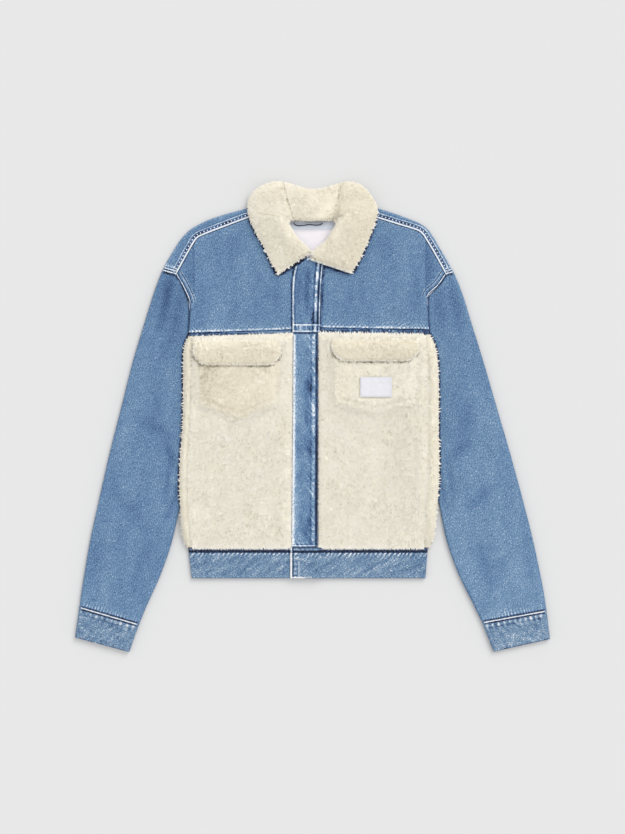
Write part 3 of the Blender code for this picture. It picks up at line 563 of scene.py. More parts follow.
def new_material(name, roughness, sheen=0.0, specular=0.3):
    made = bpy.data.materials.new(name)
    made.use_nodes = True
    shader = made.node_tree.nodes["Principled BSDF"]
    shader.inputs["Roughness"].default_value = roughness
    shader.inputs["Sheen Weight"].default_value = sheen
    shader.inputs["Specular IOR Level"].default_value = specular
    return made, made.node_tree, shader


def paint(tree, shader, color, grain=None, strength=0.0, depth=0.0):
    """Gives a shader its colour, and a grain of a depth in millimetres."""
    tree.links.new(color, shader.inputs["Base Color"])
    if grain is not None:
        bump = node(tree, "Bump", {"Height": grain, "Strength": strength, "Distance": depth * MM})
        tree.links.new(bump.outputs[0], shader.inputs["Normal"])


TWILL_PITCH = 1.1
TWILL_DEGREES = 28.0


def twill(tree, cloth):
    """The diagonal ribs of the weave."""
    rotated = node(tree, "Mapping", {"Vector": cloth, "Rotation": (0, 0, np.radians(TWILL_DEGREES))})
    detail = {"Detail": 1.0, "Detail Scale": 1.6}
    return bands(tree, rotated.outputs[0], TWILL_PITCH, distortion=1.2, **detail)


# Colours from dark to pale, and where each lies between them
# The denim's near black first stop is for painted shadow
DENIM_STOPS = [(0.0, (0.007, 0.009, 0.024)), (0.24, (0.044, 0.090, 0.205)), (0.5, (0.108, 0.200, 0.333)),
               (0.72, (0.200, 0.312, 0.446)), (1.0, (0.720, 0.755, 0.800))]
REVERSE_STOPS = [(0.0, (0.40, 0.44, 0.54)), (0.5, (0.62, 0.66, 0.75)), (1.0, (0.80, 0.83, 0.89))]
# The pile's darkest stops are for the hairs of painted shade
PILE_STOPS = [(0.0, (0.06, 0.05, 0.02)), (0.14, (0.28, 0.24, 0.135)), (0.34, (0.80, 0.742, 0.60)),
              (0.6, (0.885, 0.836, 0.71)), (1.0, (0.92, 0.895, 0.835))]
BACKING_STOPS = [(0.2, (0.70, 0.64, 0.48)), (0.75, (0.93, 0.89, 0.78))]
THREAD_SHADE = (0.012, 0.014, 0.03)


def denim_material(name, tone=0.5, contrast=1.0, cast=(1.0, 1.0, 1.0)):
    made, tree, shader = new_material(name, 0.86, sheen=0.12, specular=0.2)
    cloth = attribute(tree, "cloth", "Vector")
    wear, shade = attribute(tree, "wear"), attribute(tree, "shade")
    ribs = twill(tree, cloth)
    slub = stretched(tree, cloth, (1.2, 4.5), degrees=-8, detail=1.0)
    heather = stretched(tree, cloth, (1.5, 2.0), degrees=-24, detail=1.0, roughness=0.6)
    cloud = stretched(tree, cloth, (24, 90), detail=2.0)
    blotch = stretched(tree, cloth, (9, 15), detail=2.0)
    scuff = stretched(tree, cloth, (1.2, 2.6), degrees=12, detail=2.0, roughness=0.8)
    pale = maths(tree, "MULTIPLY", wear, maths(tree, "MULTIPLY_ADD", scuff, 1.3, 0.35))
    factor = weighted(tree, tone, (ribs, 0.04 * contrast, 0.5), (slub, 0.62 * contrast, 0.5),
                      (heather, 1.05 * contrast, 0.5), (cloud, 0.2, 0.5), (blotch, 0.2, 0.5),
                      (pale, 0.5, 0.0), (shade, -0.36, 0.0))
    color = ramp(tree, factor, [(at, tuple(np.multiply(stop, cast))) for at, stop in DENIM_STOPS])
    grain = weighted(tree, 0.5, (ribs, 0.6, 0.5), (slub, 0.9, 0.5), (heather, 0.8, 0.5))
    paint(tree, shader, color, grain, 0.35, 0.6)
    return made


def reverse_material():
    """The pale inner face of the denim."""
    made, tree, shader = new_material("denim_reverse", 0.9, sheen=0.1, specular=0.2)
    cloth = attribute(tree, "cloth", "Vector")
    ribs = twill(tree, cloth)
    slub = stretched(tree, cloth, (0.9, 6.0), degrees=-24)
    factor = weighted(tree, 0.5, (ribs, 0.2, 0.5), (slub, 0.6, 0.5))
    paint(tree, shader, ramp(tree, factor, REVERSE_STOPS), factor, 0.4, 0.5)
    return made


def pile_material():
    """The hairs of the sherpa: paler towards their tips, with painted shade towards their roots, and in large
    soft patches.
    """
    made, tree, shader = new_material("sherpa_pile", 1.0, sheen=0.25, specular=0.1)
    rise, tint = attribute(tree, "rise"), attribute(tree, "tint")
    patches = stretched(tree, position(tree), (34, 34))
    factor = weighted(tree, 0.63, (rise, 0.16, 0.5), (tint, 0.16, 0.0), (patches, 0.3, 0.5))
    paint(tree, shader, ramp(tree, factor, PILE_STOPS))
    return made


def backing_material():
    """The knitted ground that the pile stands on, and its roots."""
    made, tree, shader = new_material("sherpa_backing", 1.0, sheen=0.15, specular=0.1)
    curl = stretched(tree, position(tree), (1.8, 1.8), detail=3.0, roughness=0.7)
    paint(tree, shader, ramp(tree, curl, BACKING_STOPS), curl, 0.8, 1.2)
    return made


def thread_material(name, color, dark):
    made, tree, shader = new_material(name, 0.7, sheen=0.1)
    twist = stretched(tree, position(tree), (0.35, 0.9), degrees=35, detail=1.0)
    factor = weighted(tree, 0.6, (twist, 0.45, 0.5), (attribute(tree, "tint"), 0.22, 0.0))
    stops = [(0.0, THREAD_SHADE), (0.25, dark), (0.85, color)]
    paint(tree, shader, ramp(tree, factor, stops), twist, 0.5, 0.3)
    return made


def woven_material(name, color, dark, roughness, pitch):
    """Fine plain weave for the labels and the loop."""
    made, tree, shader = new_material(name, roughness, sheen=0.1)
    cloth = attribute(tree, "cloth", "Vector")
    weave = maths(tree, "MULTIPLY", *(bands(tree, cloth, pitch, way) for way in "XY"))
    cloud = stretched(tree, cloth, (6, 9))
    factor = weighted(tree, 0.7, (weave, 0.4, 0.25), (cloud, 0.5, 0.5), (attribute(tree, "shade"), -0.6, 0.0))
    paint(tree, shader, ramp(tree, factor, [(0.0, dark), (0.8, color)]), weave, 0.35, 0.3)
    return made


denim = denim_material("denim")
denim_faded = denim_material("denim_faded", tone=0.52, contrast=1.2, cast=(1.08, 1.01, 0.95))
reverse = reverse_material()
pile = pile_material()
backing = backing_material()
thread = thread_material("thread", (0.93, 0.94, 0.96), (0.30, 0.39, 0.52))
satin = woven_material("label_satin", (0.855, 0.82, 0.865), (0.62, 0.60, 0.64), 0.6, 0.5)
woven = woven_material("label_woven", (0.71, 0.71, 0.745), (0.46, 0.46, 0.52), 0.8, 0.8)
tape = woven_material("loop_tape", (0.56, 0.61, 0.70), (0.012, 0.02, 0.055), 0.8, 0.9)


# ---- Meshes ----

SHARP_DEGREES = 52  # edges that turn more than this aren't shaded smooth
MOST_WEAR = 1.6
LEAST_SHOWN = 0.31  # the least share of a sheet's flat size to declare as its area


def write_attribute(mesh, name, values):
    """A value or a vector for each point of a mesh."""
    values = np.ascontiguousarray(values, np.float32)
    kind, key = ("FLOAT_VECTOR", "vector") if values.ndim == 2 else ("FLOAT", "value")
    mesh.attributes.new(name, kind, "POINT").data.foreach_set(key, values.ravel())


def make_object(name, points, faces, materials):
    mesh = bpy.data.meshes.new(name)
    mesh.from_pydata((points * MM).tolist(), [], faces)
    for material in materials:
        mesh.materials.append(material)
    mesh.shade_smooth()
    made = bpy.data.objects.new(name, mesh)
    bpy.context.scene.collection.objects.link(made)
    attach(made, "root")
    return made


def face_outwards(mesh):
    mesh.calc_loop_triangles()
    corners = np.empty(len(mesh.loop_triangles) * 3, np.int32)
    mesh.loop_triangles.foreach_get("vertices", corners)
    points = np.empty(len(mesh.vertices) * 3, np.float32)
    mesh.vertices.foreach_get("co", points)
    if np.linalg.det(points.reshape(-1, 3)[corners.reshape(-1, 3)]).sum() < 0:
        mesh.flip_normals()


def shell(name, outer, inner, materials, ring=False):
    """A closed wall: a fine outer grid, every STEP-th point of the inner one, and a rim between them."""
    rows, columns = outer.shape[:2]
    coarse = inner[::STEP, ::STEP]
    front = np.arange(rows * columns).reshape(rows, columns)
    back = rows * columns + np.arange(coarse.shape[0] * coarse.shape[1]).reshape(coarse.shape[:2])
    if ring:
        front, back = np.hstack([front, front[:, :1]]), np.hstack([back, back[:, :1]])
    faces = np.stack(cells(front), -1).reshape(-1, 4).tolist()
    first_inner = len(faces)
    faces += np.stack(cells(back), -1)[..., [0, 3, 2, 1]].reshape(-1, 4).tolist()
    edges = [(front[0], back[0], 1), (front[-1], back[-1], -1)]
    if not ring:
        edges += [(front[:, 0], back[:, 0], -1), (front[:, -1], back[:, -1], 1)]
    for fine, wide, way in edges:
        for k in range(len(wide) - 1):
            run = fine[k * STEP:(k + 1) * STEP + 1].tolist()[::-1] + [int(wide[k]), int(wide[k + 1])]
            faces.append(run if way > 0 else run[::-1])
    points = np.vstack([outer.reshape(-1, 3), coarse.reshape(-1, 3)])
    made = make_object(name, points, faces, materials)
    mesh = made.data
    if len(materials) > 1:
        slots = np.zeros(len(faces), np.int32)
        slots[first_inner:] = 1
        mesh.polygons.foreach_set("material_index", slots)
    face_outwards(mesh)
    mesh.set_sharp_from_angle(angle=np.radians(SHARP_DEGREES))
    return made


def cloth_attributes(made, plan, inner_plan, degrees, wear, shade):
    """Where each point lies in the cloth, in metres, and its wear and shade, some of the shade painted
    shadow.
    """
    rng = np.random.default_rng(len(made.name) * 7 + int(abs(plan[0, 0, 0]) * 10))
    shift = rng.uniform(-3, 3, 2)
    flat = np.vstack([turned(grid, degrees).reshape(-1, 2) * MM + shift for grid in (plan, inner_plan)])
    fill = np.zeros(inner_plan.shape[0] * inner_plan.shape[1])
    write_attribute(made.data, "cloth", np.column_stack([flat, np.zeros(len(flat))]))
    for key, values in (("wear", wear), ("shade", shade)):
        write_attribute(made.data, key, np.concatenate([np.clip(values, 0, MOST_WEAR).ravel(), fill]))


def cloth_piece(name, outer, inner, effect, flat, rests_on, degrees=0.0, ring=False, material=None,
                finish="denim", lining=None, sewn=()):
    """A sheet of cloth in place of the frame's solid: its shell, its wear and shade with their painted
    shadow, its cut and its topstitching.
    """
    made = shell(f"{name}_cloth", outer, inner, [material or denim, lining or reverse], ring)
    cloth_attributes(made, outer[..., :2], inner[::STEP, ::STEP, :2], degrees, effect.wear, effect.shade)
    threads = [stitches(f"{name}_thread", surface_of(made), sewn, effect.seed)] if sewn else []
    declare(name, outer, flat, ring)


def declare(name, outer, flat, ring):
    """Works out a laid sheet's area from its outer grid, within its cut in millimetres, and hides the frame's
    solid.
    """
    a, b, c, d = cells(np.concatenate([outer, outer[:, :1]], axis=1) if ring else outer)
    area = np.linalg.norm(np.cross(c - a, d - b), axis=-1).sum() / 2 * MM**2
    width, length = flat[0] * MM, flat[1] * MM
    area = float(np.clip(area, LEAST_SHOWN * width * length, width * length))
    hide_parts(name)


def surface_of(made):
    """What a ray from above meets on a piece."""
    mesh = made.data
    points = [v.co.copy() for v in mesh.vertices]
    return BVHTree.FromPolygons(points, [tuple(p.vertices) for p in mesh.polygons])


def onto(surface, plan):
    """A plan line laid on a piece: points in millimetres, with None where it leaves the piece."""
    laid = []
    for x, y in plan:
        hit = surface.ray_cast(Vector((x * MM, y * MM, 0.2)), Vector((0, 0, -1)))[0]
        laid.append(None if hit is None else (x, y, hit.z / MM))
    return laid


STITCH_RINGS = [(-0.5, 0.0), (-0.34, 0.8), (0.0, 1.0), (0.34, 0.8), (0.5, 0.0)]  # place along it, and girth
STITCH_SIDES = 5
STITCH_STEP = 2.5  # no stitch climbs more than this

# A row of topstitching: its plan line, the spacing of its stitches, their length, width and how pale
Sewn = namedtuple("Sewn", "line pitch length width pale", defaults=(3.3, 2.5, 0.8, 0.0))


def stitches(name, surface, rows, seed):
    """Rows of topstitching laid on a piece's surface."""
    rng = np.random.default_rng(seed)
    points, faces, tints = [], [], []
    for line, pitch, length, width, pale in rows:
        line = np.asarray(line, float)
        total = np.linalg.norm(np.diff(line, axis=0), axis=1).sum()
        count = max(3, int(round(total / pitch)) * 2 + 1)
        laid = onto(surface, resample(line, count))
        for start, stop in zip(laid[0::2], laid[2::2]):
            if start is None or stop is None or abs(start[2] - stop[2]) > STITCH_STEP:
                continue
            a, b = np.array(start), np.array(stop)
            ahead = (b - a) / np.linalg.norm(b - a)
            aside = np.cross([0, 0, 1.0], ahead)
            aside /= np.linalg.norm(aside)
            up = np.cross(ahead, aside)
            middle = (a + b) / 2 + aside * rng.normal(0, 0.08)
            long, wide = length * rng.uniform(0.9, 1.08), width * rng.uniform(0.88, 1.1)
            base = len(points)
            for place, girth in STITCH_RINGS:
                sunk = (0.16 + 1.3 * place**2) * wide  # deepest at its ends, which go into the cloth
                centre = middle + ahead * place * long - up * sunk
                if girth == 0:
                    points.append(centre)
                    continue
                for k in range(STITCH_SIDES):
                    turn = 2 * np.pi * k / STITCH_SIDES + np.pi / 2
                    round_it = aside * np.cos(turn) + up * np.sin(turn) * 0.8
                    points.append(centre + round_it * girth * wide / 2)
            first = [base + 1 + k for k in range(STITCH_SIDES)]
            rings = [[v + STITCH_SIDES * r for v in first] for r in range(3)]
            last = base + 1 + 3 * STITCH_SIDES
            for k in range(STITCH_SIDES):
                n = (k + 1) % STITCH_SIDES
                faces.append((base, rings[0][n], rings[0][k]))
                for low, high in zip(rings, rings[1:]):
                    faces.append((low[k], low[n], high[n], high[k]))
                faces.append((last, rings[2][k], rings[2][n]))
            tints += [rng.uniform(-1, 1) * 0.6 + pale] * (last + 1 - base)
    made = make_object(name, np.array(points), faces, [thread])
    write_attribute(made.data, "tint", tints)
    return made


# ---- Pile ----

# Square millimetres to each hair, its length, width and lean, the way that it lies (degrees or a point),
# how pale it is, with the change in that for each 100 mm of X as painted light and shade across the piece,
# and the share of thin dark hairs that are painted shade between the locks
Pile = namedtuple("Pile", "each length width lean flow pale parted", defaults=((0.0, 0.0), 0.03))
PANEL_PILE = Pile(each=0.9, length=6.8, width=1.15, lean=62, flow=-95)
CLUMP = 6  # hairs to a clump
UNEVEN = (0.75, 1.2)  # the least and the most of a kind's length and width that a hair has
DRIFT = ((1.2, 52), (0.8, 17))  # how many radians the lay wanders by, and over what distance
ROOT_DEPTH = 0.6  # how deep a hair stands in its backing
LEAST_HEIGHT = 0.6  # of a hair's ends above the surface that the jacket lies on
SOFTEN = 0.8  # how far a hair is lit like the surface that it stands on
# A shade hair is painted shade between the locks: it lies flatter than the others,
# and is shorter, thinner and darker, more so beside a shaded line
SHADE_HAIR_LEAN = 84
SHADE_HAIR_LENGTH = 0.8
SHADE_HAIR_WIDTH = 0.42
SHADE_HAIR_TINT = (-2.7, -1.4)
SHADED_TINT = -1.9
SHADED_HALF = 1.5
EDGE_MARK = 1.5  # from one mark along an edge to the next
EDGE_PULL = 9.0  # how far in from an edge the pile turns towards it
EDGE_INSET = 0.9  # the least that the pile ends inside an edge
TUFT_HAIRS = 8
# An edge of the pile: its line, how far hairs may reach past it, its tufts' spacing, length and height
Fringe = namedtuple("Fringe", "line over pitch tuft up", defaults=(0.5, 4.0, 0.0, 0.8))


def unit(vectors):
    return vectors / np.maximum(np.linalg.norm(vectors, axis=-1, keepdims=True), 1e-9)


def nearest_of(marks, points):
    """For each point, the index of the nearest mark."""
    tree = KDTree(len(marks))
    for k, mark in enumerate(marks):
        tree.insert((*mark, 0)[:3], k)
    tree.balance()
    return np.array([tree.find((*point, 0)[:3])[1] for point in points])


def outward(edge, middle):
    """Marks along an edge of the pile, with the way out at each; a closed line has its own way out."""
    length = np.linalg.norm(np.diff(edge.line, axis=0), axis=1).sum()
    marks = resample(edge.line, max(8, int(length / EDGE_MARK)))
    aside = unit(np.gradient(marks, axis=0)[:, ::-1] * (1, -1))
    if np.linalg.norm(marks[0] - marks[-1]) < 1:
        x, y = marks.T
        return marks, aside * np.sign(np.sum(x * np.roll(y, -1) - y * np.roll(x, -1)))
    return marks, aside * np.sign(np.sum((marks - middle) * aside, axis=1, keepdims=True))


def borders(edges, middle):
    """Marks along all the edges, with the way out and how far hairs may reach past it at each."""
    marked = [outward(edge, middle) for edge in edges]
    overs = [np.full(len(marks), edge.over) for (marks, _), edge in zip(marked, edges)]
    return *(np.vstack(part) for part in zip(*marked)), np.concatenate(overs)


def trimmed(points, border, share):
    """Points pulled back to where the edges let them: share runs from just inside an edge to its overhang."""
    marks, ways, overs = border
    near = nearest_of(marks, points[:, :2])
    allowed = overs[near] * share - EDGE_INSET * (1 - share)
    past = np.sum((points[:, :2] - marks[near]) * ways[near], axis=1) - allowed
    moved = points.copy()
    moved[:, :2] -= ways[near] * np.maximum(past, 0)[:, None]
    return moved


def scatter(grid, each, hidden, rng):
    """Roots spread evenly over what shows of a surface grid, and the way up at each."""
    a, b, c, d = cells(grid)
    across = np.cross(c - a, d - b)
    if across[..., 2].sum() < 0:
        across = -across
    weight = np.linalg.norm(across, axis=-1) / 2
    centres = (a + b + c + d) / 4
    for outline in hidden:
        weight = np.where(inside(centres[..., :2], outline), 0, weight)
    weight = weight.ravel()
    count = int(weight.sum() / each)
    shares = np.cumsum(weight) / weight.sum()
    spots = (np.arange(count) + rng.random(count)) / count
    picks = np.minimum(np.searchsorted(shares, spots), len(weight) - 1)
    u, v = rng.random((count, 1)), rng.random((count, 1))
    a, b, c, d = (corner.reshape(-1, 3)[picks] for corner in (a, b, c, d))
    root = (a * (1 - u) + b * u) * (1 - v) + (d * (1 - u) + c * u) * v
    return root, unit(across.reshape(-1, 3)[picks])


def headings(plan, up, clump, flow, border, seed, rng):
    """The way that each hair lies along the surface: its clump's, which turns out over an edge nearby."""
    marks, ways, _ = border
    angle = np.arctan2(*(plan - flow).T[::-1]) if np.ndim(flow) else np.radians(flow)
    for k, (radians, size) in enumerate(DRIFT):
        angle = angle + radians * noise(plan, size, seed + k)
    angle = angle + rng.normal(0, 0.45, len(plan))
    near = nearest_of(marks, plan)
    pull = np.exp(-((np.linalg.norm(plan - marks[near], axis=1) / EDGE_PULL) ** 2))[:, None]
    way = np.column_stack([np.cos(angle), np.sin(angle)]) * (1 - pull) + ways[near] * 1.3 * pull
    way = at_height(way, 0.0)[clump] + rng.normal(0, 0.25, (len(clump), 3))
    return unit(way - up * np.sum(way * up, axis=1, keepdims=True))


def grow(name, grid, kind, seed, edges, hidden, shaded):
    """Fine tapered hairs all over a surface grid, in clumps whose tips come together.

    Each of shaded is a line of painted shadow beside which more of them are dark, and how many.
    """
    rng = np.random.default_rng(seed)
    border = borders(edges, grid[..., :2].mean(axis=(0, 1)))
    root, up = scatter(grid, kind.each, hidden, rng)
    count, leads = len(root), np.arange(0, len(root), CLUMP)
    clump = nearest_of(root[leads], root)
    way = headings(root[leads, :2], up, clump, kind.flow, border, seed, rng)
    long = kind.length * rng.uniform(*UNEVEN, (count, 1))
    long = long * rng.uniform(0.9, 1.12, len(leads))[clump][:, None]
    # A few thin dark hairs lie on top, painted shade between the locks
    share = kind.parted * (1 + 0.9 * noise(root[:, :2], 26, seed + 5))
    dark = np.zeros(count)
    for line, strength in shaded:
        distance, along = beside(root[:, :2], line)
        here = np.exp(-((distance / SHADED_HALF) ** 2))
        dark = np.maximum(dark, here)
        share = share + strength * here * (0.6 + 0.9 * noise_along(along, 3.4, seed + 6))
    parted = (rng.random(count) < share)[:, None]
    long = long * (1 - 0.6 * dark[:, None] * parted)
    lean = np.radians(np.where(parted, SHADE_HAIR_LEAN, kind.lean) + rng.normal(0, 9, (count, 1)) * ~parted)
    raised = -kind.length * np.cos(np.radians(kind.lean)) * 0.8
    root = root - up * np.where(parted, raised, ROOT_DEPTH)
    tip = root + (up * np.cos(lean) + way * np.sin(lean)) * long * np.where(parted, SHADE_HAIR_LENGTH, 1)
    tip = tip + (tip[leads][clump] - tip) * rng.uniform(0.1, 0.5, (count, 1)) * ~parted
    wide = kind.width * rng.uniform(*UNEVEN, (count, 1)) * np.where(parted, SHADE_HAIR_WIDTH, 1)
    tint = (0.4 * rng.uniform(-1, 1, len(leads))[clump] + 0.5 * rng.uniform(-1, 1, count))[:, None]
    tint = tint + kind.pale[0] + kind.pale[1] * root[:, :1] / 100
    tint = np.where(parted, rng.uniform(*SHADE_HAIR_TINT, (count, 1)) + SHADED_TINT * dark[:, None], tint)
    share = rng.uniform(0, 1, len(leads))[clump] ** 0.5
    root, tip = trimmed(root, border, np.zeros(count)), trimmed(tip, border, share)
    hairs = [root, tip, up, wide, tint]
    for edge in edges:
        if edge.tuft:
            hairs = [np.vstack(pair) for pair in zip(hairs, tufts(grid, edge, kind, rng))]
    return hair_mesh(name, *hairs, rng)


def hair_mesh(name, root, tip, up, wide, tint, rng):
    """Each hair is a thin three-sided spike, lit much like the surface that it stands on."""
    for ends in (root, tip):
        ends[:, 2] = np.maximum(ends[:, 2], LEAST_HEIGHT)
    aside = unit(np.cross(up, tip - root) + rng.normal(0, 0.25, root.shape))
    ridge = unit(np.cross(tip - root, aside))
    ridge = ridge * np.sign(np.sum(ridge * up, axis=1, keepdims=True))
    corners = [root - aside * wide * 0.5, root + aside * wide * 0.5, root + ridge * wide * 0.5, tip]
    facing = [unit(SOFTEN * up + (1 - SOFTEN) * way) for way in (-aside, aside, ridge, ridge)]
    sides = np.array([(0, 1, 3), (1, 2, 3), (2, 0, 3)])  # the first is the underside
    faces = (np.arange(len(root))[:, None, None] * 4 + sides[None]).reshape(-1, 3).tolist()
    made = make_object(name, np.stack(corners, axis=1).reshape(-1, 3), faces, [pile])
    normals = np.stack([-ridge] * 3 + [facing[k] for k in sides[1:].ravel()], axis=1)
    made.data.normals_split_custom_set(normals.reshape(-1, 3).tolist())
    write_attribute(made.data, "tint", np.repeat(tint, 4))
    write_attribute(made.data, "rise", np.tile([0, 0, 0.1, 1.0], len(root)))
    return made


def tufts(grid, edge, kind, rng):
    """Pointed tufts that stand out over an edge: roots, tips, up, width and tint."""
    marks, ways = outward(edge, grid[..., :2].mean(axis=(0, 1)))
    length = np.linalg.norm(np.diff(edge.line, axis=0), axis=1).sum()
    spots = resample(edge.line, max(4, int(length / edge.pitch)))
    spots = spots + rng.normal(0, edge.pitch / 3.2, spots.shape)
    flat = grid.reshape(-1, 3)
    base = flat[nearest_of(flat[:, :2], spots)]
    away = at_height(ways[nearest_of(marks, base[:, :2])], 0.0)
    away = unit(away + rng.normal(0, 0.4, (len(spots), 3)) * (1, 1, 0.1))
    tip = away * edge.tuft * rng.uniform(0.1, 1.0, (len(spots), 1))
    tip[:, :2] += marks[nearest_of(marks, spots)]
    tip[:, 2] += base[:, 2] + edge.up
    base, away, tip = (np.repeat(part, TUFT_HAIRS, axis=0) for part in (base, away, tip))
    root = base + rng.normal(0, 1.1, base.shape) * (1, 1, 0.4) - away * rng.uniform(0.0, 3.0, (len(base), 1))
    tip = tip + rng.normal(0, 0.35, tip.shape)
    up = unit(away * 0.3 + (0, 0, 1.0))
    wide = kind.width * rng.uniform(0.9, 1.4, (len(root), 1))
    return root, tip, up, wide, rng.uniform(1.0, 2.4, (len(root), 1))


def sherpa_piece(name, outer, inner, flat, rests_on, kind, seed, edges, hidden=(), shaded=(), grown=np.s_[:]):
    """The backing of a pile piece with its pile; grown is the part of the outer grid that has pile."""
    bumps = 0.35 * noise(outer[..., :2], 5.0, seed) + 0.5 * noise(outer[..., :2], 21.0, seed + 3)
    outer = outer.copy()
    outer[..., 2] += bumps * (outer[..., 2] > 4.0)  # not on what is pressed flat below
    hairs = grow(f"{name}_pile", outer[grown], kind, seed, edges, hidden, shaded)
    made = shell(f"{name}_backing", outer, inner, [backing])
    declare(name, outer, flat, False)


# ---- Denim pieces ----

EDGE_ROLL = 3.2  # a folded edge turns down this far
SEAM_BAND = {"right": 7.6, "left": 10.8}  # from the yoke's lower edge up to its line of topstitching
BODY_GRAIN, SLEEVE_GRAIN = 0.0, {"right": -11.5, "left": 11.5}
FOLD_LINE = {"right": -197.0, "left": 188.5}  # x where each front yoke turns down to its armhole
# Where the collar's edge shades the yokes, from its front edge round to the shoulder
COLLAR_SHADOW = {
    "right": spline([(-9.5, 267.5), (-56.5, 234.5), (-68.5, 254.5), (-81.5, 282), (-94, 304), (-104, 327),
                     (-107.5, 345)], 60),
    "left": spline([(-2, 258.5), (64, 237), (75.5, 254.5), (86, 276), (97, 303), (104, 322.5),
                    (107.5, 344)], 60),
}
# Two rows of topstitching beside the armhole, each pale between dark: distance, wear and shade
ARMHOLE_ROWS = [(0.3, 0, 1.5), (1.9, 1.1, 0), (3.5, 0, 1.5), (8.0, 0.6, 0), (9.5, 0, 1.1), (11.0, 0.5, 0)]
# The twisted threads that show at the back neck, dark as painted shade under the collar's edge
SHADED_NECK_THREADS = [(-42, 321.9), (-20, 321.4), (0, 320.8), (20, 321.2), (40, 322)]
V_SHADE = np.array([(-7.0, 265.0), (-27.0, 252.0)])  # the deep shade beside the wearer's right front edge


def at_rows(plan, places):
    """Rows of a plan grid at places from 0 to 1."""
    where = np.asarray(places) * (len(plan) - 1)
    low = np.minimum(where.astype(int), len(plan) - 2)
    part = (where - low)[:, None, None]
    return plan[low] * (1 - part) + plan[low + 1] * part


def graded(plan, rows, columns):
    """A plan grid at other places, closer together where there is more to show."""
    return at_rows(at_rows(plan, rows).swapaxes(0, 1), columns).swapaxes(0, 1)


def front_yoke(side, seed):
    count = 85
    first, last = spline(YOKE_SIDE[side], count), spline(YOKE_CENTRE[side], count)
    top = spline(SHOULDER_SEAM[side], count)
    bottom = resample([YOKE_SIDE[side][-1], YOKE_CENTRE[side][-1]], count)
    plan = graded(patch(top, bottom, first, last), steps((0.06, 12), (0.93, 56), (1.0, 20)),
                  steps((0.09, 22), (0.95, 56), (1.0, 10)))
    plan = shrink(plan, SEAM_GAP / 2)
    corner_y = YOKE_SIDE[side][2][1]
    armhole, fold = first[first[:, 1] > corner_y - 1], first[first[:, 1] < corner_y + 2]
    centre = last[count // 3:]
    stitched = bottom + (0, SEAM_BAND[side])
    inward = INWARD[side]
    effect = Finish(plan, seed)
    effect.crease(YOKE_FOLDS)
    effect.ripple(Seam(top, 8, 6.2, 0.5, 0.34, 0.5)).ripple(Seam(stitched, 10, 5.6, 0.8 * inward, 0.42, 0.95))
    effect.ripple(Seam(armhole, 8, 6.0, 0.4, 0.3, 0.5)).ripple(Seam(centre, 5, 8.0, 0.6, 0.22, 0.3))
    # The seam's double thickness below its topstitching is darker, with short pale dashes down it
    within = smoothstep((stitched[0, 1] - 1.2 - plan[..., 1]) / 1.4)
    dashes = np.clip(1.5 * noise(plan, (2.6, 40), seed + 7) - 0.2, 0, 1)
    effect.tone(within, shade=1.1).tone(within * dashes, wear=1.2)
    effect.height = effect.height + 0.5 * within
    by_placket = PLACKET_UPPER["side" if side == "right" else "other"]
    # Painted shadow beside the placket's edge
    effect.band(offset(spline(by_placket, 40), -inward * 1.2), 1.5, shade=1.3, speckle=0.4)
    effect.band(stitched - (0, 2.6), 1.1, shade=1.0, speckle=0.8).band(stitched, 1.5, wear=0.5, speckle=1.2)
    # Painted shadow along the shoulder seam and the centre edge, and painted shade on the folded edge
    effect.band(top, 1.2, shade=1.6).band(fold, 1.4, shade=0.85).band(centre, 1.3, shade=1.3)
    for away, wear, shade in ARMHOLE_ROWS:
        effect.band(offset(armhole, inward * away), 0.75, wear=wear, shade=shade, speckle=0.6)
    # Beyond its fold line the yoke turns down to the armhole, with painted shade there and along the fold
    # line
    turn_x, turn = FOLD_LINE[side], [(FOLD_LINE[side], 292), (FOLD_LINE[side] + inward * 1.5, 205)]
    turned_down_shade = smoothstep(-inward * (plan[..., 0] - turn_x) / 4) * smoothstep((plan[..., 1] - 205) / 30)
    effect.tone(turned_down_shade, shade=0.16).band(turn, 1.8, shade=0.5)
    effect.band(COLLAR_SHADOW[side], 2.6, shade=2.0, speckle=0.35).band(V_SHADE, 3.4, shade=1.8)
    height = lift(plan) + YOKE_TOP + effect.height - rounded(beside(plan, fold)[0], EDGE_ROLL)
    inner = np.maximum(height - DENIM, lift(plan) + DENIM + SEAM_GAP / 2)
    sewn = [Sewn(stitched, 4.6, 2.6, 0.7, -1.1), Sewn(offset(armhole, inward * 1.9), 3.6, 2.4, 0.7, -0.4),
            Sewn(offset(armhole, inward * 8.0), 3.6, 2.2, 0.7, -0.7)]
    cloth_piece(f"front_yoke_{side}", at_height(plan, height), at_height(plan, inner), effect, (215, 210),
                [f"sleeve_{side}"], BODY_GRAIN, sewn=sewn)


YOKE_LIPS, YOKE_ARCS, YOKE_SHEET = 18, 13, 14  # steps of the back yoke over the shoulder, round it and below


def yoke_sections(radius):
    """Across each shoulder and the neck: the folded edge, the way in, the lip's length and the turn there."""
    shoulder, neck = steps((0.08, 24), (1.0, 56)), 33
    sections = []
    for side, sign in INWARD.items():
        row = []
        folded, sewn = (spline(line[side], shoulder) for line in (SHOULDER_FOLD, SHOULDER_SEAM))
        for at_fold, at_seam in zip(folded, sewn):
            reach = np.linalg.norm(at_seam - at_fold)
            row.append((at_fold, (at_seam - at_fold) / reach, reach - SEAM_GAP / 2 - radius, np.pi))
        at_fold, inward, _, _ = row[-1]
        step = np.array([sign * 5.0, 0.6])
        row += [(at_fold + step, inward, LIP, np.pi), (at_fold + 2 * step, inward, LIP, np.pi / 2)]
        sections.append(row)
    middle = [(at, np.array([0.0, -1.0]), radius, 0.0) for at in spline(BACK_NECK, neck)[1:-1]]
    return sections[0] + middle + sections[1][::-1]


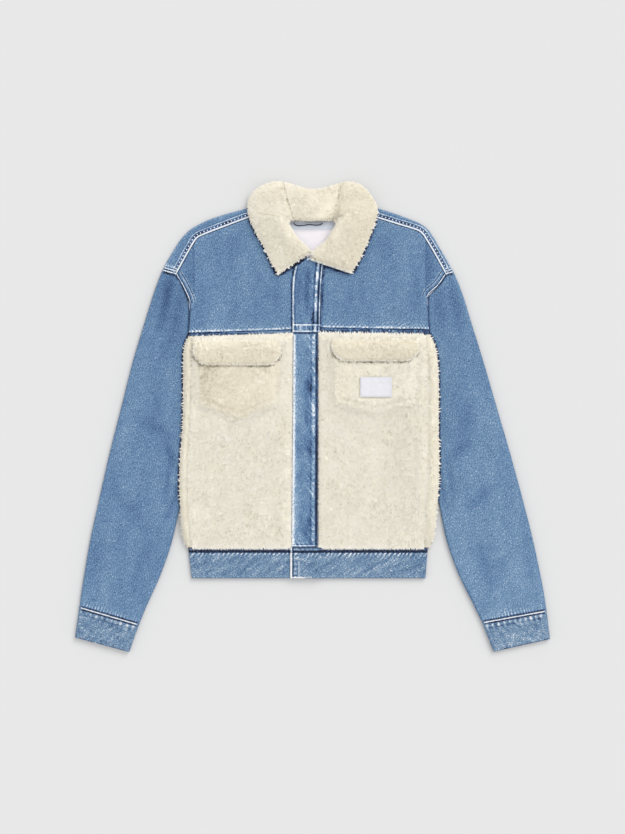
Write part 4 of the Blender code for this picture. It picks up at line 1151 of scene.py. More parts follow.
def yoke_shape():
    """Round over each shoulder from the forward seam, then flat under the front down to its lower seam."""
    radius = YOKE_TOP / 2
    sections = yoke_sections(radius)
    starts = np.array([fold + inward * radius for fold, inward, _, _ in sections])
    ends = []
    for start, (side, sign) in zip((starts[0], starts[-1]), INWARD.items()):
        bottom = (armhole_x(side, BACK_YOKE_SEAM_Y) + sign * ARMHOLE_GAP, BACK_YOKE_SEAM_Y + SEAM_GAP / 2)
        inset = np.array(SHOULDER_SEAM[side][0]) + (sign * SEAM_GAP, SEAM_GAP)
        ends.append(resample([start, inset, bottom], YOKE_SHEET + 1))
    lower = resample([end[-1] for end in ends], len(sections))
    sheet = patch(starts, lower, *ends)
    under = lift(sheet)
    outer, inner = [], []
    ks = np.arange(YOKE_LIPS, 0, -1) / YOKE_LIPS
    for column, (fold, inward, lip, turn) in enumerate(sections):
        angles = np.linspace(turn, 0, YOKE_ARCS)
        s = np.concatenate([radius - radius * np.sin(turn) - np.cos(turn) * lip * ks,
                            radius - radius * np.sin(angles)])
        z = np.concatenate([radius - radius * np.cos(turn) + np.sin(turn) * lip * ks,
                            radius - radius * np.cos(angles)])
        turns = np.concatenate([np.full(YOKE_LIPS, turn), angles])
        below, low = sheet[1:, column], under[1:, column]
        for grid, wall in ((outer, 0.0), (inner, DENIM)):
            bent = at_height(fold + inward * (s + np.sin(turns) * wall)[:, None], z + np.cos(turns) * wall)
            grid.append(np.vstack([bent, at_height(below, low + wall)]))
    return np.array(outer), np.array(inner)


def back_yoke(seed):
    outer, inner = yoke_shape()
    plan = outer[..., :2]
    strip = np.arange(plan.shape[1]) < YOKE_LIPS + 3  # what shows in front of the shoulder
    seams = {side: spline(SHOULDER_SEAM[side], 61) for side in SHOULDER_SEAM}
    effect = Finish(plan, seed)
    for side, sign in INWARD.items():
        seam = seams[side]
        effect.band(offset(seam, sign * 4.9), 2.2, shade=0.85, rise=-0.3, speckle=0.6)
        effect.band(offset(seam, sign * 1.2), 1.2, wear=2.0)
        effect.band(offset(seam, sign * 8.6), 0.8, wear=0.8, rise=0.2)
        effect.band(offset(seam, sign * 10.1), 0.8, shade=0.5)
        cap = resample(SLEEVE_CAP[side][:3], 12)
        effect.band(cap, 1.0, shade=1.6).band(cap + (0, 4.6), 1.2, shade=1.3)
        effect.band(cap + (0, 2.2), 0.9, wear=1.5)
        effect.band(cap + (0, 8.8), 1.0, shade=0.8).band(cap + (0, 6.8), 0.9, wear=1.2)
        effect.band(cap + (0, 11.5), 2.4, wear=0.8, speckle=1.4)
        effect.band(spline(SHOULDER_FOLD[side], 40), 2.6, wear=0.3)
        effect.ripple(Seam(cap, 14, 5.5, 0.3, 0.4, 0.5))
    outer[..., 2] = np.maximum(outer[..., 2] + effect.height * strip, 0)
    sheet = YOKE_LIPS + YOKE_ARCS
    outer[:, sheet:, 2] += np.clip(relief(plan[:, sheet:], BACK_FOLDS), 0, 1)
    effect.wear, effect.shade = effect.wear * strip, effect.shade * strip
    sewn = [Sewn(spline(SHADED_NECK_THREADS, 30), 3.1, 3.3, 1.1, -3.2)]
    for side, sign in INWARD.items():
        seam = seams[side]
        sewn += [Sewn(offset(seam, sign * 1.2)), Sewn(offset(seam, sign * 4.9), 6.0, 3.1, 3.3, 1.2)]
    cloth_piece("back_yoke", outer, inner, effect, (482, 168), ["front_yoke_right", "front_yoke_left"],
                BODY_GRAIN, sewn=sewn)


def back_panel(seed):
    seam_y = BACK_YOKE_SEAM_Y - SEAM_GAP / 2
    sides = []
    for side, sign in INWARD.items():
        edge = side_rows(side, 15)[0]
        armhole, fold, side_end = YOKE_SIDE[side][2:]
        seam = [(armhole_x(side, y) + sign * ARMHOLE_GAP, y) for y in (seam_y, (seam_y + armhole[1]) / 2)]
        above = seam + [(armhole[0] + sign, armhole[1]), (fold[0] + sign, fold[1]),
                        (side_end[0] + sign, edge[0][1] + 8 * SEAM_GAP)]
        sides.append(resample(np.vstack([above, edge + (sign * (SIDE_WRAP + SEAM_GAP), SEAM_GAP)]), 81))
    plan = ruled(*sides, np.linspace(0, 1, 61))
    effect = Finish(plan, seed)
    top, bottom = plan[0], plan[-1]
    effect.ripple(Seam(top, 9, 7.0, 0.5, 0.3, 0.6)).ripple(Seam(bottom, 9, 7.5, 0.5, 0.3, 0.6))
    effect.band(top, 2.0, wear=0.8).crease(BACK_FOLDS)
    under = lift(plan)
    pressed = np.clip(-effect.height, 0, 1.3)
    cloth_piece("back_panel", at_height(plan, under + pressed), at_height(plan, under + DENIM), effect,
                (425, 432), ["waistband"], BODY_GRAIN)


def placket(name, sides, rows, thickness, rests_on, own_wear, seed):
    """A stretch of the placket; own_wear adds to its wear, and gives its lines of topstitching."""
    left, right = spline(sides["side"], rows), spline(sides["other"], rows)
    plan = ruled(left, right, steps((0.18, 10), (0.66, 12), (1.0, 18)))
    effect = Finish(plan, seed)
    towards_right = smoothstep((beside(plan, left)[0] - 14) / 18)
    effect.rope(-58, 20, 3.6, 0.3, 0.55, 0.5, where=0.25 + 0.75 * towards_right)
    clouds = noise(plan, (9, 26), seed + 3) + 0.6 * noise(plan, (5, 11), seed + 4)
    effect.tone(np.clip(clouds, -1, 1), shade=0.42)
    effect.shade = np.maximum(effect.shade, -0.3)
    sewn = own_wear(effect, left, right, towards_right, rows[:, None], seed)
    edges = np.minimum(beside(plan, left)[0], beside(plan, right)[0])
    height = PLACKET_TOP + effect.height - rounded(edges, 1.5)
    cloth_piece(name, at_height(plan, height), at_height(plan, PLACKET_TOP - thickness), effect,
                (104, plan[0, 0, 1] - plan[-1, 0, 1]), rests_on, BODY_GRAIN + 3,
                sewn=[Sewn(line) for line in sewn])


def upper_placket_wear(effect, left, right, towards_right, down, seed):
    plan = effect.plan
    stitched, beside_edge = offset(right, -8.6), offset(right, -2.0)
    cross = [resample([plan[-1, 0] + (0, up), plan[-1, -1] + (0, up)], 12) for up in (1.6, 12.4)]
    effect.band(offset(left, 1.5), 1.7, wear=0.95, speckle=0.4).band(offset(left, 4.2), 1.2, shade=0.5)
    effect.band(beside_edge, 0.8, wear=1.15).band(offset(right, -4.6), 1.6, shade=1.3)
    effect.band(right, 1.1, shade=1.5).band(offset(right, -11.8), 1.8, shade=0.9, speckle=1.1)
    effect.band(stitched, 2.2, wear=0.8, speckle=1.0)
    effect.tone(towards_right * down, shade=0.3)
    # Between the two rows sewn across it, it is darker, with short pale dashes
    low_y, high_y = cross[0][0, 1] + 1, cross[1][0, 1] - 1
    between = smoothstep((plan[..., 1] - low_y) / 1.5) * smoothstep((high_y - plan[..., 1]) / 1.5)
    for line, half in zip(cross, (1.3, 1.1)):
        effect.band(line, half, wear=1.35)
    effect.band(plan[-1], 1.0, shade=1.5).band(cross[1] + (0, 2.6), 1.0, shade=0.5)
    dashes = np.clip(1.6 * noise(plan, (2.3, 30), seed + 5), 0, 1)
    effect.tone(between, shade=0.35).tone(between * dashes, wear=0.8)
    effect.ripple(Seam(cross[1], 7, 5.6, 0.4, 0.36, 0.6))
    effect.band(plan[0], 4.0, wear=0.9, speckle=0.3).band(plan[0] - (0, 5.0), 1.2, shade=0.6)
    effect.ripple(Seam(plan[0], 8, 6.5, 0.2, 0.3, 0.5)).band(V_SHADE, 3.4, shade=1.8)
    return [beside_edge, *cross]


def lower_placket_wear(effect, left, right, towards_right, down, seed):
    plan = effect.plan
    stitched = offset(right, -7.6)
    effect.band(offset(left, 1.8), 2.6, wear=0.55, speckle=0.3)
    effect.tone(np.exp(-(beside(plan, left)[0] / 8) ** 2), wear=0.35)
    effect.tone(towards_right * (0.4 + 0.6 * down), shade=0.35).tone(1.0, wear=0.08)
    # Painted shadow along the right edge, beside the pile
    effect.band(stitched + (0.6, 0), 2.8, wear=0.3, speckle=0.9).band(offset(right, -2.2), 2.2, shade=1.25)
    effect.band(offset(right, -11.5), 1.4, shade=0.4, speckle=0.9)
    effect.ripple(Seam(stitched, 8.0, 8.5, 1.2, 0.36, 0.45)).ripple(Seam(left, 7.0, 9.5, 0.9, 0.3, 0.3))
    effect.band(plan[-1] + (0, 2.2), 1.1, wear=0.9).band(plan[-1] + (0, 4.4), 1.0, shade=0.9)
    effect.band(plan[-1], 1.2, shade=1.4).ripple(Seam(plan[-1], 12, 8, 0.6, 0.4, 0.8))
    # Painted shadow along the top, under the upper placket's edge
    effect.band(plan[0], 2.2, shade=1.5).ripple(Seam(plan[0], 9, 7, 0.6, 0.4, 0.7))
    return []


# Points round the waistband: right front, each folded edge, back, left front and the end that laps over
BAND_COUNTS = (149, 9, 41, 129, 44)


def band_section(x_right, x_left):
    """The waistband's path in X and Z, from its right end round the back to its left end."""
    outer, inner = [], []

    def run(x0, x1, z, count, down):
        for x in np.linspace(x0, x1, count):
            outer.append((x, z))
            inner.append((x, z - down * DENIM_DOUBLE))

    def turn(x, sign, angles):
        for angle in np.radians(angles):
            s, z = radius - radius * np.sin(angle), radius - radius * np.cos(angle)
            outer.append((x + sign * s, z))
            inner.append((x + sign * (s + np.sin(angle) * DENIM_DOUBLE), z + np.cos(angle) * DENIM_DOUBLE))

    radius = BAND_HEIGHT / 2
    right_front, fold, back, left_front, lap = BAND_COUNTS
    run(BAND_RIGHT_END, x_right + radius, BAND_HEIGHT, right_front, 1)
    turn(x_right, 1, np.linspace(165, 15, fold))
    run(x_right + radius, x_left - radius, 0, back, -1)
    turn(x_left, -1, np.linspace(15, 165, fold))
    run(x_left - radius, BAND_STEP + 8, BAND_HEIGHT, left_front, 1)
    run(BAND_STEP, BAND_LEFT_END, BAND_HEIGHT + DENIM_DOUBLE + 2 * SEAM_GAP, lap, 1)
    return outer, inner


def waistband(seed):
    grids = [], []
    top_to_hem = (*BAND_SIDES.values(), (BAND_TOP_Y, BAND_HEM_Y))
    for place in steps((0.2, 12), (0.88, 22), (1.0, 6)):
        *sides, y = (np.interp(place, (0, 1), ends) for ends in top_to_hem)
        for grid, path in zip(grids, band_section(*sides)):
            grid.append([(x, y, z) for x, z in path])
    outer, inner = (np.array(grid) for grid in grids)
    plan = outer[..., :2]
    effect = Finish(plan, seed)
    top = np.array([(-206.0, BAND_TOP_Y), (191.0, BAND_TOP_Y)])
    hem = np.array([(-200.0, BAND_HEM_Y), (187.0, BAND_HEM_Y)])
    end = np.array([(BAND_LEFT_END, BAND_HEM_Y), (BAND_LEFT_END, BAND_TOP_Y)])
    middle = smoothstep((plan[..., 1] - BAND_HEM_Y - 2) / 8) * smoothstep((BAND_TOP_Y - 4 - plan[..., 1]) / 8)
    effect.rope(33, 15, 3.2, 0.5, 0.32, 0.38, where=0.45 + 0.55 * middle)
    effect.ripple(Seam(top - (0, 9), 6.0, 7.4, 0.7, 0.5, 1.2)).ripple(Seam(hem, 4.5, 5.4, 0.9, 0.3, 0.6))
    # Painted shadow under the pile's edge: a dark line below the top seam, darker beside it, and along the
    # top
    under_pile = smoothstep((np.abs(plan[..., 0] + 13) - 22) / 1.5)
    by_seam = smoothstep((plan[..., 1] - BAND_TOP_Y + 6.5) / 2)
    effect.band(top - (0, 6.8), 2.1, shade=1.9, speckle=0.4).tone(under_pile * by_seam, shade=0.8)
    effect.band(top, 1.3, shade=1.3).band(hem, 1.2, shade=0.35)
    right_front, fold, back = BAND_COUNTS[:3]
    first_left = right_front + fold + back + fold
    column = np.arange(plan.shape[1])
    face_up = (column < right_front) | (column >= first_left)
    # The end that laps over the other front has wear of its own
    lapped = (column >= first_left) & (plan[..., 0] < BAND_STEP - 1)
    worn = Finish(plan, seed + 500)
    lower = np.array([(-22.5, BAND_HEM_Y), (-22.5, BAND_HEM_Y + 26)])
    worn.band(end + (1.4, 0), 1.6, wear=1.6).band(end + (4.4, 0), 1.2, shade=1.9).band(lower, 1.0, wear=0.45)
    worn.band(lower - (2.6, 0), 1.0, shade=0.5).ripple(Seam(end + (8, 0), 7, 7.5, 0.1, 0.4, 0.6))
    for stop, pale in ((-3, 0.5), (-14, 0.9)):
        worn.band(np.array([(BAND_LEFT_END, BAND_HEM_Y + 1.4), (stop, BAND_HEM_Y + 1.4)]), 1.4, wear=pale)
    for key in ("wear", "shade", "height"):
        setattr(effect, key, getattr(effect, key) + np.where(lapped, getattr(worn, key), 0))
    across = np.minimum(beside(plan, top)[0], beside(plan, hem)[0])
    outer[..., 2] += (effect.height - rounded(across, 1.3)) * face_up
    cloth_piece("waistband", outer, inner, effect, (842, 96), ["back_panel"], 90.0, material=denim_faded,
                sewn=[Sewn(end + (1.6, 0)), Sewn(lower, 3.6, 2.2, 0.6, -0.8)])


# ---- Sleeves ----

TUBE_TOP, TUBE_ARC, TUBE_UNDER = 73, 7, 21  # points along a tube's top, round each edge and below


def tube(plan, height, wall):
    """A flattened ring across each row of a plan grid: along the top, round one edge, back below."""
    outer, inner = [], []
    angles = np.radians(np.linspace(160, 20, TUBE_ARC))
    for row in plan:
        along = np.concatenate([[0], np.cumsum(np.linalg.norm(np.diff(row, axis=0), axis=1))])
        width = along[-1]
        ahead = (row[-1] - row[0]) / np.linalg.norm(row[-1] - row[0])

        def place(s):
            at = np.stack([np.interp(s, along, row[:, 0]), np.interp(s, along, row[:, 1])], axis=-1)
            return at + ahead * (np.minimum(s, 0) + np.maximum(s - width, 0))[:, None]

        low, high = height(place(np.array([0.0, width]))) / 2
        top = place(np.linspace(low, width - high, TUBE_TOP))
        top_z = height(top)
        below = place(np.linspace(width - high, low, TUBE_UNDER))
        for grid, depth in ((outer, 0.0), (inner, wall)):
            folds = []
            for r, edge, sign, turns in ((high, width, 1, angles), (low, 0.0, -1, angles[::-1])):
                at = place(edge - sign * r + sign * (r - depth) * np.sin(turns))
                folds.append(at_height(at, r - (r - depth) * np.cos(turns)))
            sides = at_height(top, top_z - depth), at_height(below, depth)
            grid.append(np.vstack([sides[0], folds[0], sides[1], folds[1]]))
    return np.array(outer), np.array(inner)


def sleeve(side, seed):
    fine, columns = 221, 41
    hem = resample([SLEEVE_OUTER[side][-1], SLEEVE_INNER[side][-1]], columns)
    cap = spline(SLEEVE_CAP[side], columns)
    plan = patch(cap, hem, spline(SLEEVE_OUTER[side], fine), spline(SLEEVE_INNER[side], fine))
    plan = at_rows(plan, steps((0.04, 12), (0.93, 84), (1.0, 28)))
    down = plan[1] - plan[0]
    plan[0] += down * (ARMHOLE_GAP / np.linalg.norm(down, axis=-1, keepdims=True))
    outer, inner = tube(plan, sleeve_height, SLEEVE_WALL)
    flat = outer[..., :2]
    effect = Finish(flat, seed)
    if side == "right":
        effect.tone(smoothstep((flat[..., 1] - 60) / 80), shade=0.18)
    else:
        effect.tone(smoothstep((120 - flat[..., 1]) / 400), wear=0.11)
    effect.crease(SLEEVE_FOLDS)
    effect.ripple(Seam(hem, 10, 5.0, -0.1, 0.4, 1.15)).band(hem, 1.6, shade=1.3)
    # The cap lies beside the back yoke, then beside the front yoke, and then under the body; the dark beside
    # the body's edge and the yoke's fold is painted shadow
    effect.ripple(Seam(cap[:24], 8, 6.0, 0.4, 0.3, 0.42)).band(cap[:9], 2.4, shade=1.5)
    effect.band(cap[9:24], 1.5, shade=1.1).band(side_rows(side, 60)[0], 3.0, shade=1.7, speckle=0.5)
    effect.band(np.array(YOKE_SIDE[side][2:]), 2.0, shade=0.8)
    above = np.arange(flat.shape[1]) < TUBE_TOP
    outer[..., 2] += effect.height * above
    inner[..., 2] += np.minimum(effect.height, 0) * above
    inner[:, :TUBE_TOP, 2] = np.maximum(inner[:, :TUBE_TOP, 2], SLEEVE_WALL + SEAM_GAP)
    edge = np.abs(np.arange(flat.shape[1]) - TUBE_TOP // 2) > TUBE_TOP // 2
    effect.wear, effect.shade = effect.wear * ~edge, effect.shade * ~edge
    cloth_piece(f"sleeve_{side}", outer, inner, effect, (292, 470), [f"cuff_{side}"], SLEEVE_GRAIN[side],
                ring=True)


def cuff(side, seed):
    seam, edge = np.array(CUFF[side], float).reshape(2, 2, 2)
    rows = steps((0.25, 16), (0.9, 28), (1.0, 8))
    plan = np.array([resample(seam + (edge - seam) * place, 41) for place in rows])
    outer, inner = tube(plan, lambda at: np.full(len(at), CUFF_HEIGHT), CUFF_WALL)
    flat = outer[..., :2]
    seam, edge = plan[0], plan[-1]
    effect = Finish(flat, seed)
    down = unit(edge[20] - seam[20])
    effect.rope(30 * INWARD[side], 9, 3.6, 0.4, 0.3, 0.42)
    effect.tone(noise(flat, (9, 5), seed + 5), shade=0.3).tone(1.0, wear=0.02 if side == "right" else 0.1)
    effect.ripple(Seam(seam + down * 8.5, 6.5, 9.0, 0.15, 0.6, 0.95))
    effect.band(seam + down * 12, 1.6, shade=0.5, speckle=1.2)
    effect.band(seam, 0.9, shade=1.4).band(seam + down * 4.0, 1.5, shade=1.5, rise=-0.3)
    effect.band(seam + down * 1.9, 1.1, wear=1.5).ripple(Seam(edge, 5, 5.0, 0.4, 0.3, 0.4))
    effect.band(edge, 1.4, shade=0.9, speckle=1.0)
    above = np.arange(flat.shape[1]) < TUBE_TOP
    ends = np.minimum(beside(flat, seam)[0], beside(flat, edge)[0])
    outer[..., 2] += (effect.height - rounded(ends, 1.2)) * above
    effect.wear, effect.shade = effect.wear * above, effect.shade * above
    sewn = [Sewn(seam + down * 1.9, 3.3, 2.6, 0.65, 0.0)]
    cloth_piece(f"cuff_{side}", outer, inner, effect, (214, 104), [f"sleeve_{side}"],
                90 + SLEEVE_GRAIN[side], ring=True, material=denim_faded, sewn=sewn)


# ---- Sherpa pieces ----

PANEL_DROPS = (1.4, 3.4, 0.6)  # how much lower a front panel's pile is at its top, centre and hem


def scaled(outline, share):
    """An outline made smaller about its middle."""
    return outline.mean(axis=0) + (outline - outline.mean(axis=0)) * share


def pocket_plan(side, half, rows):
    """A pocket's plan grid, with as many columns on each side of its point."""
    shape = POCKET[side]
    first, last = spline(shape["outer"], rows), spline(shape["inner"], rows)
    point = np.array(shape["point"], float)
    bottom = np.vstack([resample([first[-1], point], half + 1), resample([point, last[-1]], half + 1)[1:]])
    return patch(resample([first[0], last[0]], 2 * half + 1), bottom, first, last)


def flap_plan(side, columns, rows):
    shape = FLAP[side]
    first, last = spline(shape["outer"], rows), spline(shape["inner"], rows)
    return patch(*(resample([first[row], last[row]], columns) for row in (0, -1)), first, last)


def flap_shape(side, columns, rows):
    """The flap's plan grid, with its lower corners rounded."""
    plan = flap_plan(side, columns, rows)
    corners = [plan[-1, k].copy() for k in (0, -1)]
    pulls = [5.0 * np.exp(-((np.linalg.norm(plan - corner, axis=-1) / 9) ** 2)) for corner in corners]
    for corner, pull in zip(corners, pulls):
        plan = plan + unit(plan.mean(axis=(0, 1)) - corner) * pull[..., None]
    return plan


def under_flap(side):
    """The line of painted shadow round the flap's lower edge, with its strength."""
    plan = flap_shape(side, 40, 20)
    line = np.vstack([plan[11:, 0], plan[-1, 1:-1], plan[:10:-1, -1]])
    return [(offset(line, -1.2 * INWARD[side]), 0.8)]


def label_outline(bounds, margin):
    x0, x1, y0, y1 = bounds
    return np.array([(x0 - margin, y0 - margin), (x1 + margin, y0 - margin), (x1 + margin, y1 + margin),
                     (x0 - margin, y1 + margin)])


def front_panel(side, seed):
    rows, columns = 121, 61
    seam = side_rows(side, rows)[1] + (INWARD[side] * LAYER_GAP, 0)
    top_x, bottom_x = FRONT_EDGE[side]
    centre = resample([(top_x, FRONT_TOP_Y), (bottom_x, BACK_PANEL_HEM_Y)], rows)
    ends = [resample([seam[row], centre[row]], columns) for row in (0, -1)]
    outline = patch(*ends, seam, centre)
    plan = shrink(outline, 1.0)
    free = [outline[0], outline[:, -1], outline[-1]]
    drop = np.zeros(plan.shape[:2])
    for line, low in zip(free, PANEL_DROPS):
        drop = np.maximum(drop, rounded(beside(plan, line)[0] * low / EDGE_PULL, low))
    groove = 0.6 * np.exp(-((beside(plan, outline[:, 0])[0] / 2.2) ** 2))
    # The ground swells up to the pocket and its flap, so that their pile runs out into the panel's
    sewn_on = [rim(pocket_plan(side, 12, 12)), rim(flap_plan(side, 20, 12))]
    swell = 2.8 * np.exp(-((np.minimum(*(beside(plan, line)[0] for line in sewn_on)) / 8) ** 2))
    height = pile_top(plan) - PILE_DEPTH - drop - groove + np.minimum(swell, drop + 2.8)
    inner = at_height(outline, lift(outline) + FRONT_BASE)
    hidden = [scaled(line, 0.92) for line in sewn_on]
    top, middle, bottom = free
    # The wearer's right one spills over the placket, the left one over the yoke seam
    if side == "right":
        edges = [Fringe(top, 0.6, 3.4, 3.4, 2.0), Fringe(middle, 1.4, 4.2, 2.2, 2.2)]
    else:
        edges = [Fringe(top + (0, 2.6), 0.6, 3.0, 2.8, 3.0), Fringe(middle, -0.4, 4.5, 1.4)]
    edges += [Fringe(bottom - (0, 3.4), 0.7, 1.3, 1.7, 1.4), Fringe(seam, 5.0)]
    kind = PANEL_PILE._replace(flow=tuple(outline[0].mean(axis=0) + (0, 60)), pale=(0.8, 0.0))
    sherpa_piece(f"front_panel_{side}", at_height(plan, height), inner, (178, 356),
                 ["back_panel", f"sleeve_{side}"], kind, seed, edges, hidden, under_flap(side))


def side_panel(side, seed):
    """From the front side seam round the folded edge to the back."""
    rows, over, flat_part = 97, 25, 8
    edge, seam = side_rows(side, rows)
    outer, inner = [], []
    depth = PILE_DEPTH - 0.5
    for row, (at_edge, at_seam) in enumerate(zip(edge, seam)):
        inward = np.sign(at_seam[0] - at_edge[0])
        reach = abs(at_seam[0] - at_edge[0]) - SEAM_GAP / 2
        under = float(lift(at_edge[None])[0])
        ends = min(row, rows - 1 - row)
        top = under + FRONT_BASE + SHERPA - 0.4 - 2.6 * np.exp(-((ends / 2.5) ** 2)) - depth * 0.8
        middle, half = (top + under) / 2, (top - under) / 2
        hollow = under + FRONT_BASE
        # Outer and inner offset and height, from the seam over the edge to the underside
        ring = [(reach, top - 0.9, reach, hollow - 0.2), (0.62 * reach, top - 0.2, 0.8 * reach, hollow - 0.2),
                (0.26 * reach + depth * 0.6, middle + half * 0.62, 0.7 * reach, hollow - 0.4),
                (depth, middle, 0.66 * reach, hollow - 0.9),
                (0.2 * reach + depth * 0.6, middle - half * 0.7, 0.7 * reach, under + SHERPA_UNDER)]
        low = float(lift((at_edge + (inward * reach * 0.7, 0))[None])[0])
        ring.append((reach * 0.7, low, reach * 0.85, low + SHERPA_UNDER * 0.7))
        bent = spline(ring, over)
        outer_row = [(at_edge[0] + inward * s, at_edge[1], z) for s, z, _, _ in bent]
        inner_row = [(at_edge[0] + inward * s, at_edge[1], z) for _, _, s, z in bent]
        for s in np.linspace(reach * 0.7, SIDE_WRAP, flat_part + 1)[1:]:
            below = at_edge + (inward * s, 0)
            low = float(lift(below[None])[0])
            outer_row.append((*below, low))
            below[0] += inward * 0.15 * reach * (s < reach)
            inner_row.append((*below, low + SHERPA_UNDER * 0.7))
        outer.append(outer_row)
        inner.append(inner_row)
    kind = PANEL_PILE._replace(each=0.8, length=5.6, lean=58)
    sherpa_piece(f"side_panel_{side}", np.array(outer), np.array(inner), (58, 356),
                 [f"sleeve_{side}", "back_panel"], kind, seed, [Fringe(edge, 0.8, 4.2, 4.6)],
                 grown=np.s_[:, :over - 3])


def pocket(side, seed):
    plan = pocket_plan(side, 22, 45)
    outline = rim(plan)
    plan = shrink(plan, 0.8)
    distance = beside(plan, outline)[0]
    base = pile_top(plan) + LAYER_GAP
    drop = (POCKET_PILE - 1.8) * (1 - smoothstep(distance / 15))
    dent = 0.3 * np.exp(-(((distance - 8) / 2.6) ** 2))
    height = base + POCKET_PILE - drop - dent - 2.4
    kind = PANEL_PILE._replace(length=5.6, lean=66, pale=(-0.15, 0.85))
    hidden = [scaled(rim(flap_plan(side, 20, 12)), 0.9)]
    if side == "left":
        hidden.append(label_outline(CHEST_LABEL, 1.2))
    sherpa_piece(f"pocket_{side}", *slab(plan, height, base), (134, 112), [f"front_panel_{side}"], kind, seed,
                 [Fringe(outline, 3.4)], hidden, under_flap(side))


def flap(side, seed):
    plan = flap_shape(side, 57, 25)
    outline = rim(plan)
    plan = shrink(plan, 1.6)
    seam_y = FLAP[side]["outer"][0][1]
    over_pocket = smoothstep((seam_y - plan[..., 1] - 4) / 14)
    base = pile_top(plan) + LAYER_GAP + over_pocket * (POCKET_PILE + LAYER_GAP)
    distance = beside(plan, outline)[0]
    upper = smoothstep((seam_y - plan[..., 1]) / 22)
    drop = (FLAP_PILE - 1.8) * (1 - smoothstep(distance / (13 - 6 * upper)))
    height = base + FLAP_PILE - drop - 2.4
    kind = PANEL_PILE._replace(length=5.6, lean=66, pale=(-1.4, 0.0), parted=0.012)
    sherpa_piece(f"pocket_flap_{side}", *slab(plan, height, base), (145, 46),
                 [f"front_panel_{side}", f"pocket_{side}"], kind, seed, [Fringe(outline, 0.6, 3.6, 1.6)])


NECK = (0.0, 300.0)  # the collar's pile lies away from here
SHOULDER_Y = 335.0  # below here the collar's fall is its lapels


def collar_plan(count, places):
    """Rows across the collar, all round it: their sizes, their plan grid and the height of its underside."""
    rows = spline(COLLAR, count)
    plan = rows[:, None, 0:2] + (rows[:, None, 2:4] - rows[:, None, 0:2]) * places[None, :, None]
    base = rows[:, 4:5] + (rows[:, 5:6] - rows[:, 4:5]) * places[None, :]
    return rows, plan, base


def collar(seed):
    count, columns = 145, 29
    places = np.linspace(0.018, 0.985, columns)
    profile = spline(COLLAR_PROFILE, 60)
    rise = np.interp(places, profile[:, 0], profile[:, 1])
    rows, plan, base = collar_plan(count, places)
    base = base + UNDER_COLLAR + SEAM_GAP
    height = base + (rows[:, 6:7] - base) * rise[None, :]
    ends = np.minimum(np.arange(count), np.arange(count)[::-1])[:, None]
    height = base + (height - base) * (1 - 0.5 * np.exp(-((ends / 2.2) ** 2)))
    edge = np.minimum(places, 1 - places)[None, :]
    height = np.maximum(height - PILE_DEPTH * (0.7 + 0.3 * smoothstep(edge / 0.1)), base + 0.4)
    # The two creases where the fall of the collar turns round the neck
    creases = [np.array([(-49, 384), (-40, 352), (-31, 323)]), np.array([(48, 384), (40, 350), (34, 326)])]
    for line in creases:
        distance, along = beside(plan, line)
        height = height - (1.7 + 0.7 * noise_along(along, 9, seed)) * np.exp(-((distance / 4.2) ** 2))
    height = np.maximum(height, base + 0.4)
    full = collar_plan(count, np.linspace(0, 1, columns))[1]
    edges = [Fringe(rim(full), 0.6, 3.8, 1.4)]
    edges += [Fringe(full[row], 0.6, 5.0, tuft) for row, tuft in ((0, 4.0), (-1, 2.6))]
    for half in (full[:count // 2, 0], full[count // 2:, 0]):
        edges.append(Fringe(half[half[:, 1] < SHOULDER_Y], 0.6, 5.0, 4.4))
    # Painted shade: more dark hairs along the creases, in the V and along the neck
    shaded = [(line, 0.3) for line in creases] + [(np.array([(-4.0, 267.0), (4.0, 260.0)]), 0.8),
                                                  (np.array([(-36.0, 325.5), (40.0, 326.5)]), 0.22)]
    kind = PANEL_PILE._replace(each=0.95, length=6.6, lean=64, flow=NECK, pale=(-0.3, -0.9), parted=0.018)
    sherpa_piece("collar", at_height(plan, height), at_height(plan, base), (440, 96), ["under_collar"], kind,
                 seed, edges, shaded=shaded)


# ---- Trim ----

LOOP_HALF = 1.9  # half the width that shows of the hanger loop


def plain(plan):
    """Cloth with neither creases nor wear beside a seam."""
    return Finish(plan, 3)


def under_collar():
    places = np.linspace(UNDER_COLLAR_INSET, 1 - UNDER_COLLAR_INSET, 9)
    _, plan, base = collar_plan(105, places)
    # Below the shoulders its edge shows, dark as painted shadow, all along the lapels
    lapel = smoothstep((SHOULDER_Y - plan[:, 0, 1]) / 20)[:, None]
    out = unit(plan[:, 0] - plan[:, 1])
    width = np.linalg.norm(plan[:, 0] - plan[:, -1], axis=1)[:, None]
    plan[:, 0] += out * lapel * (UNDER_COLLAR_INSET * width + 1.2)
    for row, within, past in ((0, 1, 2.4), (-1, -2, 1.8)):
        plan[row] += unit(plan[row] - plan[within]) * past
    effect = plain(plan)
    effect.height = 0
    # Painted shadow: all of it is darkened, so that what shows of it reads as the collar's shadow
    effect.shade = effect.shade + 1.6
    # The wearer's left front edge shows pale
    effect.wear[-1], effect.shade[-1] = 1.5, 0.3
    cloth_piece("under_collar", *slab(plan, base + UNDER_COLLAR, base), effect, (430, 90),
                ["front_yoke_right", "front_yoke_left", "back_yoke"], 45.0)


def label(name, bounds, base_height, material, rests_on, sag):
    x0, x1, y0, y1 = bounds
    plan = np.stack(np.meshgrid(np.linspace(x0, x1, 41), np.linspace(y1, y0, 25)), axis=-1)
    base = base_height(plan) + SEAM_GAP
    effect = plain(plan)
    edge = beside(plan, rim(plan))[0]
    effect.shade = 0.5 * np.exp(-(((edge - 1.6) / 0.9) ** 2))
    effect.wear = effect.wear * 0
    lift_up = sag * (noise(plan, 15, 71) + 0.5 * np.exp(-(((edge - 5) / 4) ** 2)))
    height = base + LABEL + lift_up - rounded(edge, 0.5)
    cloth_piece(name, *slab(plan, height, base), effect, (x1 - x0, y1 - y0), rests_on, material=material,
                lining=material, finish="label")


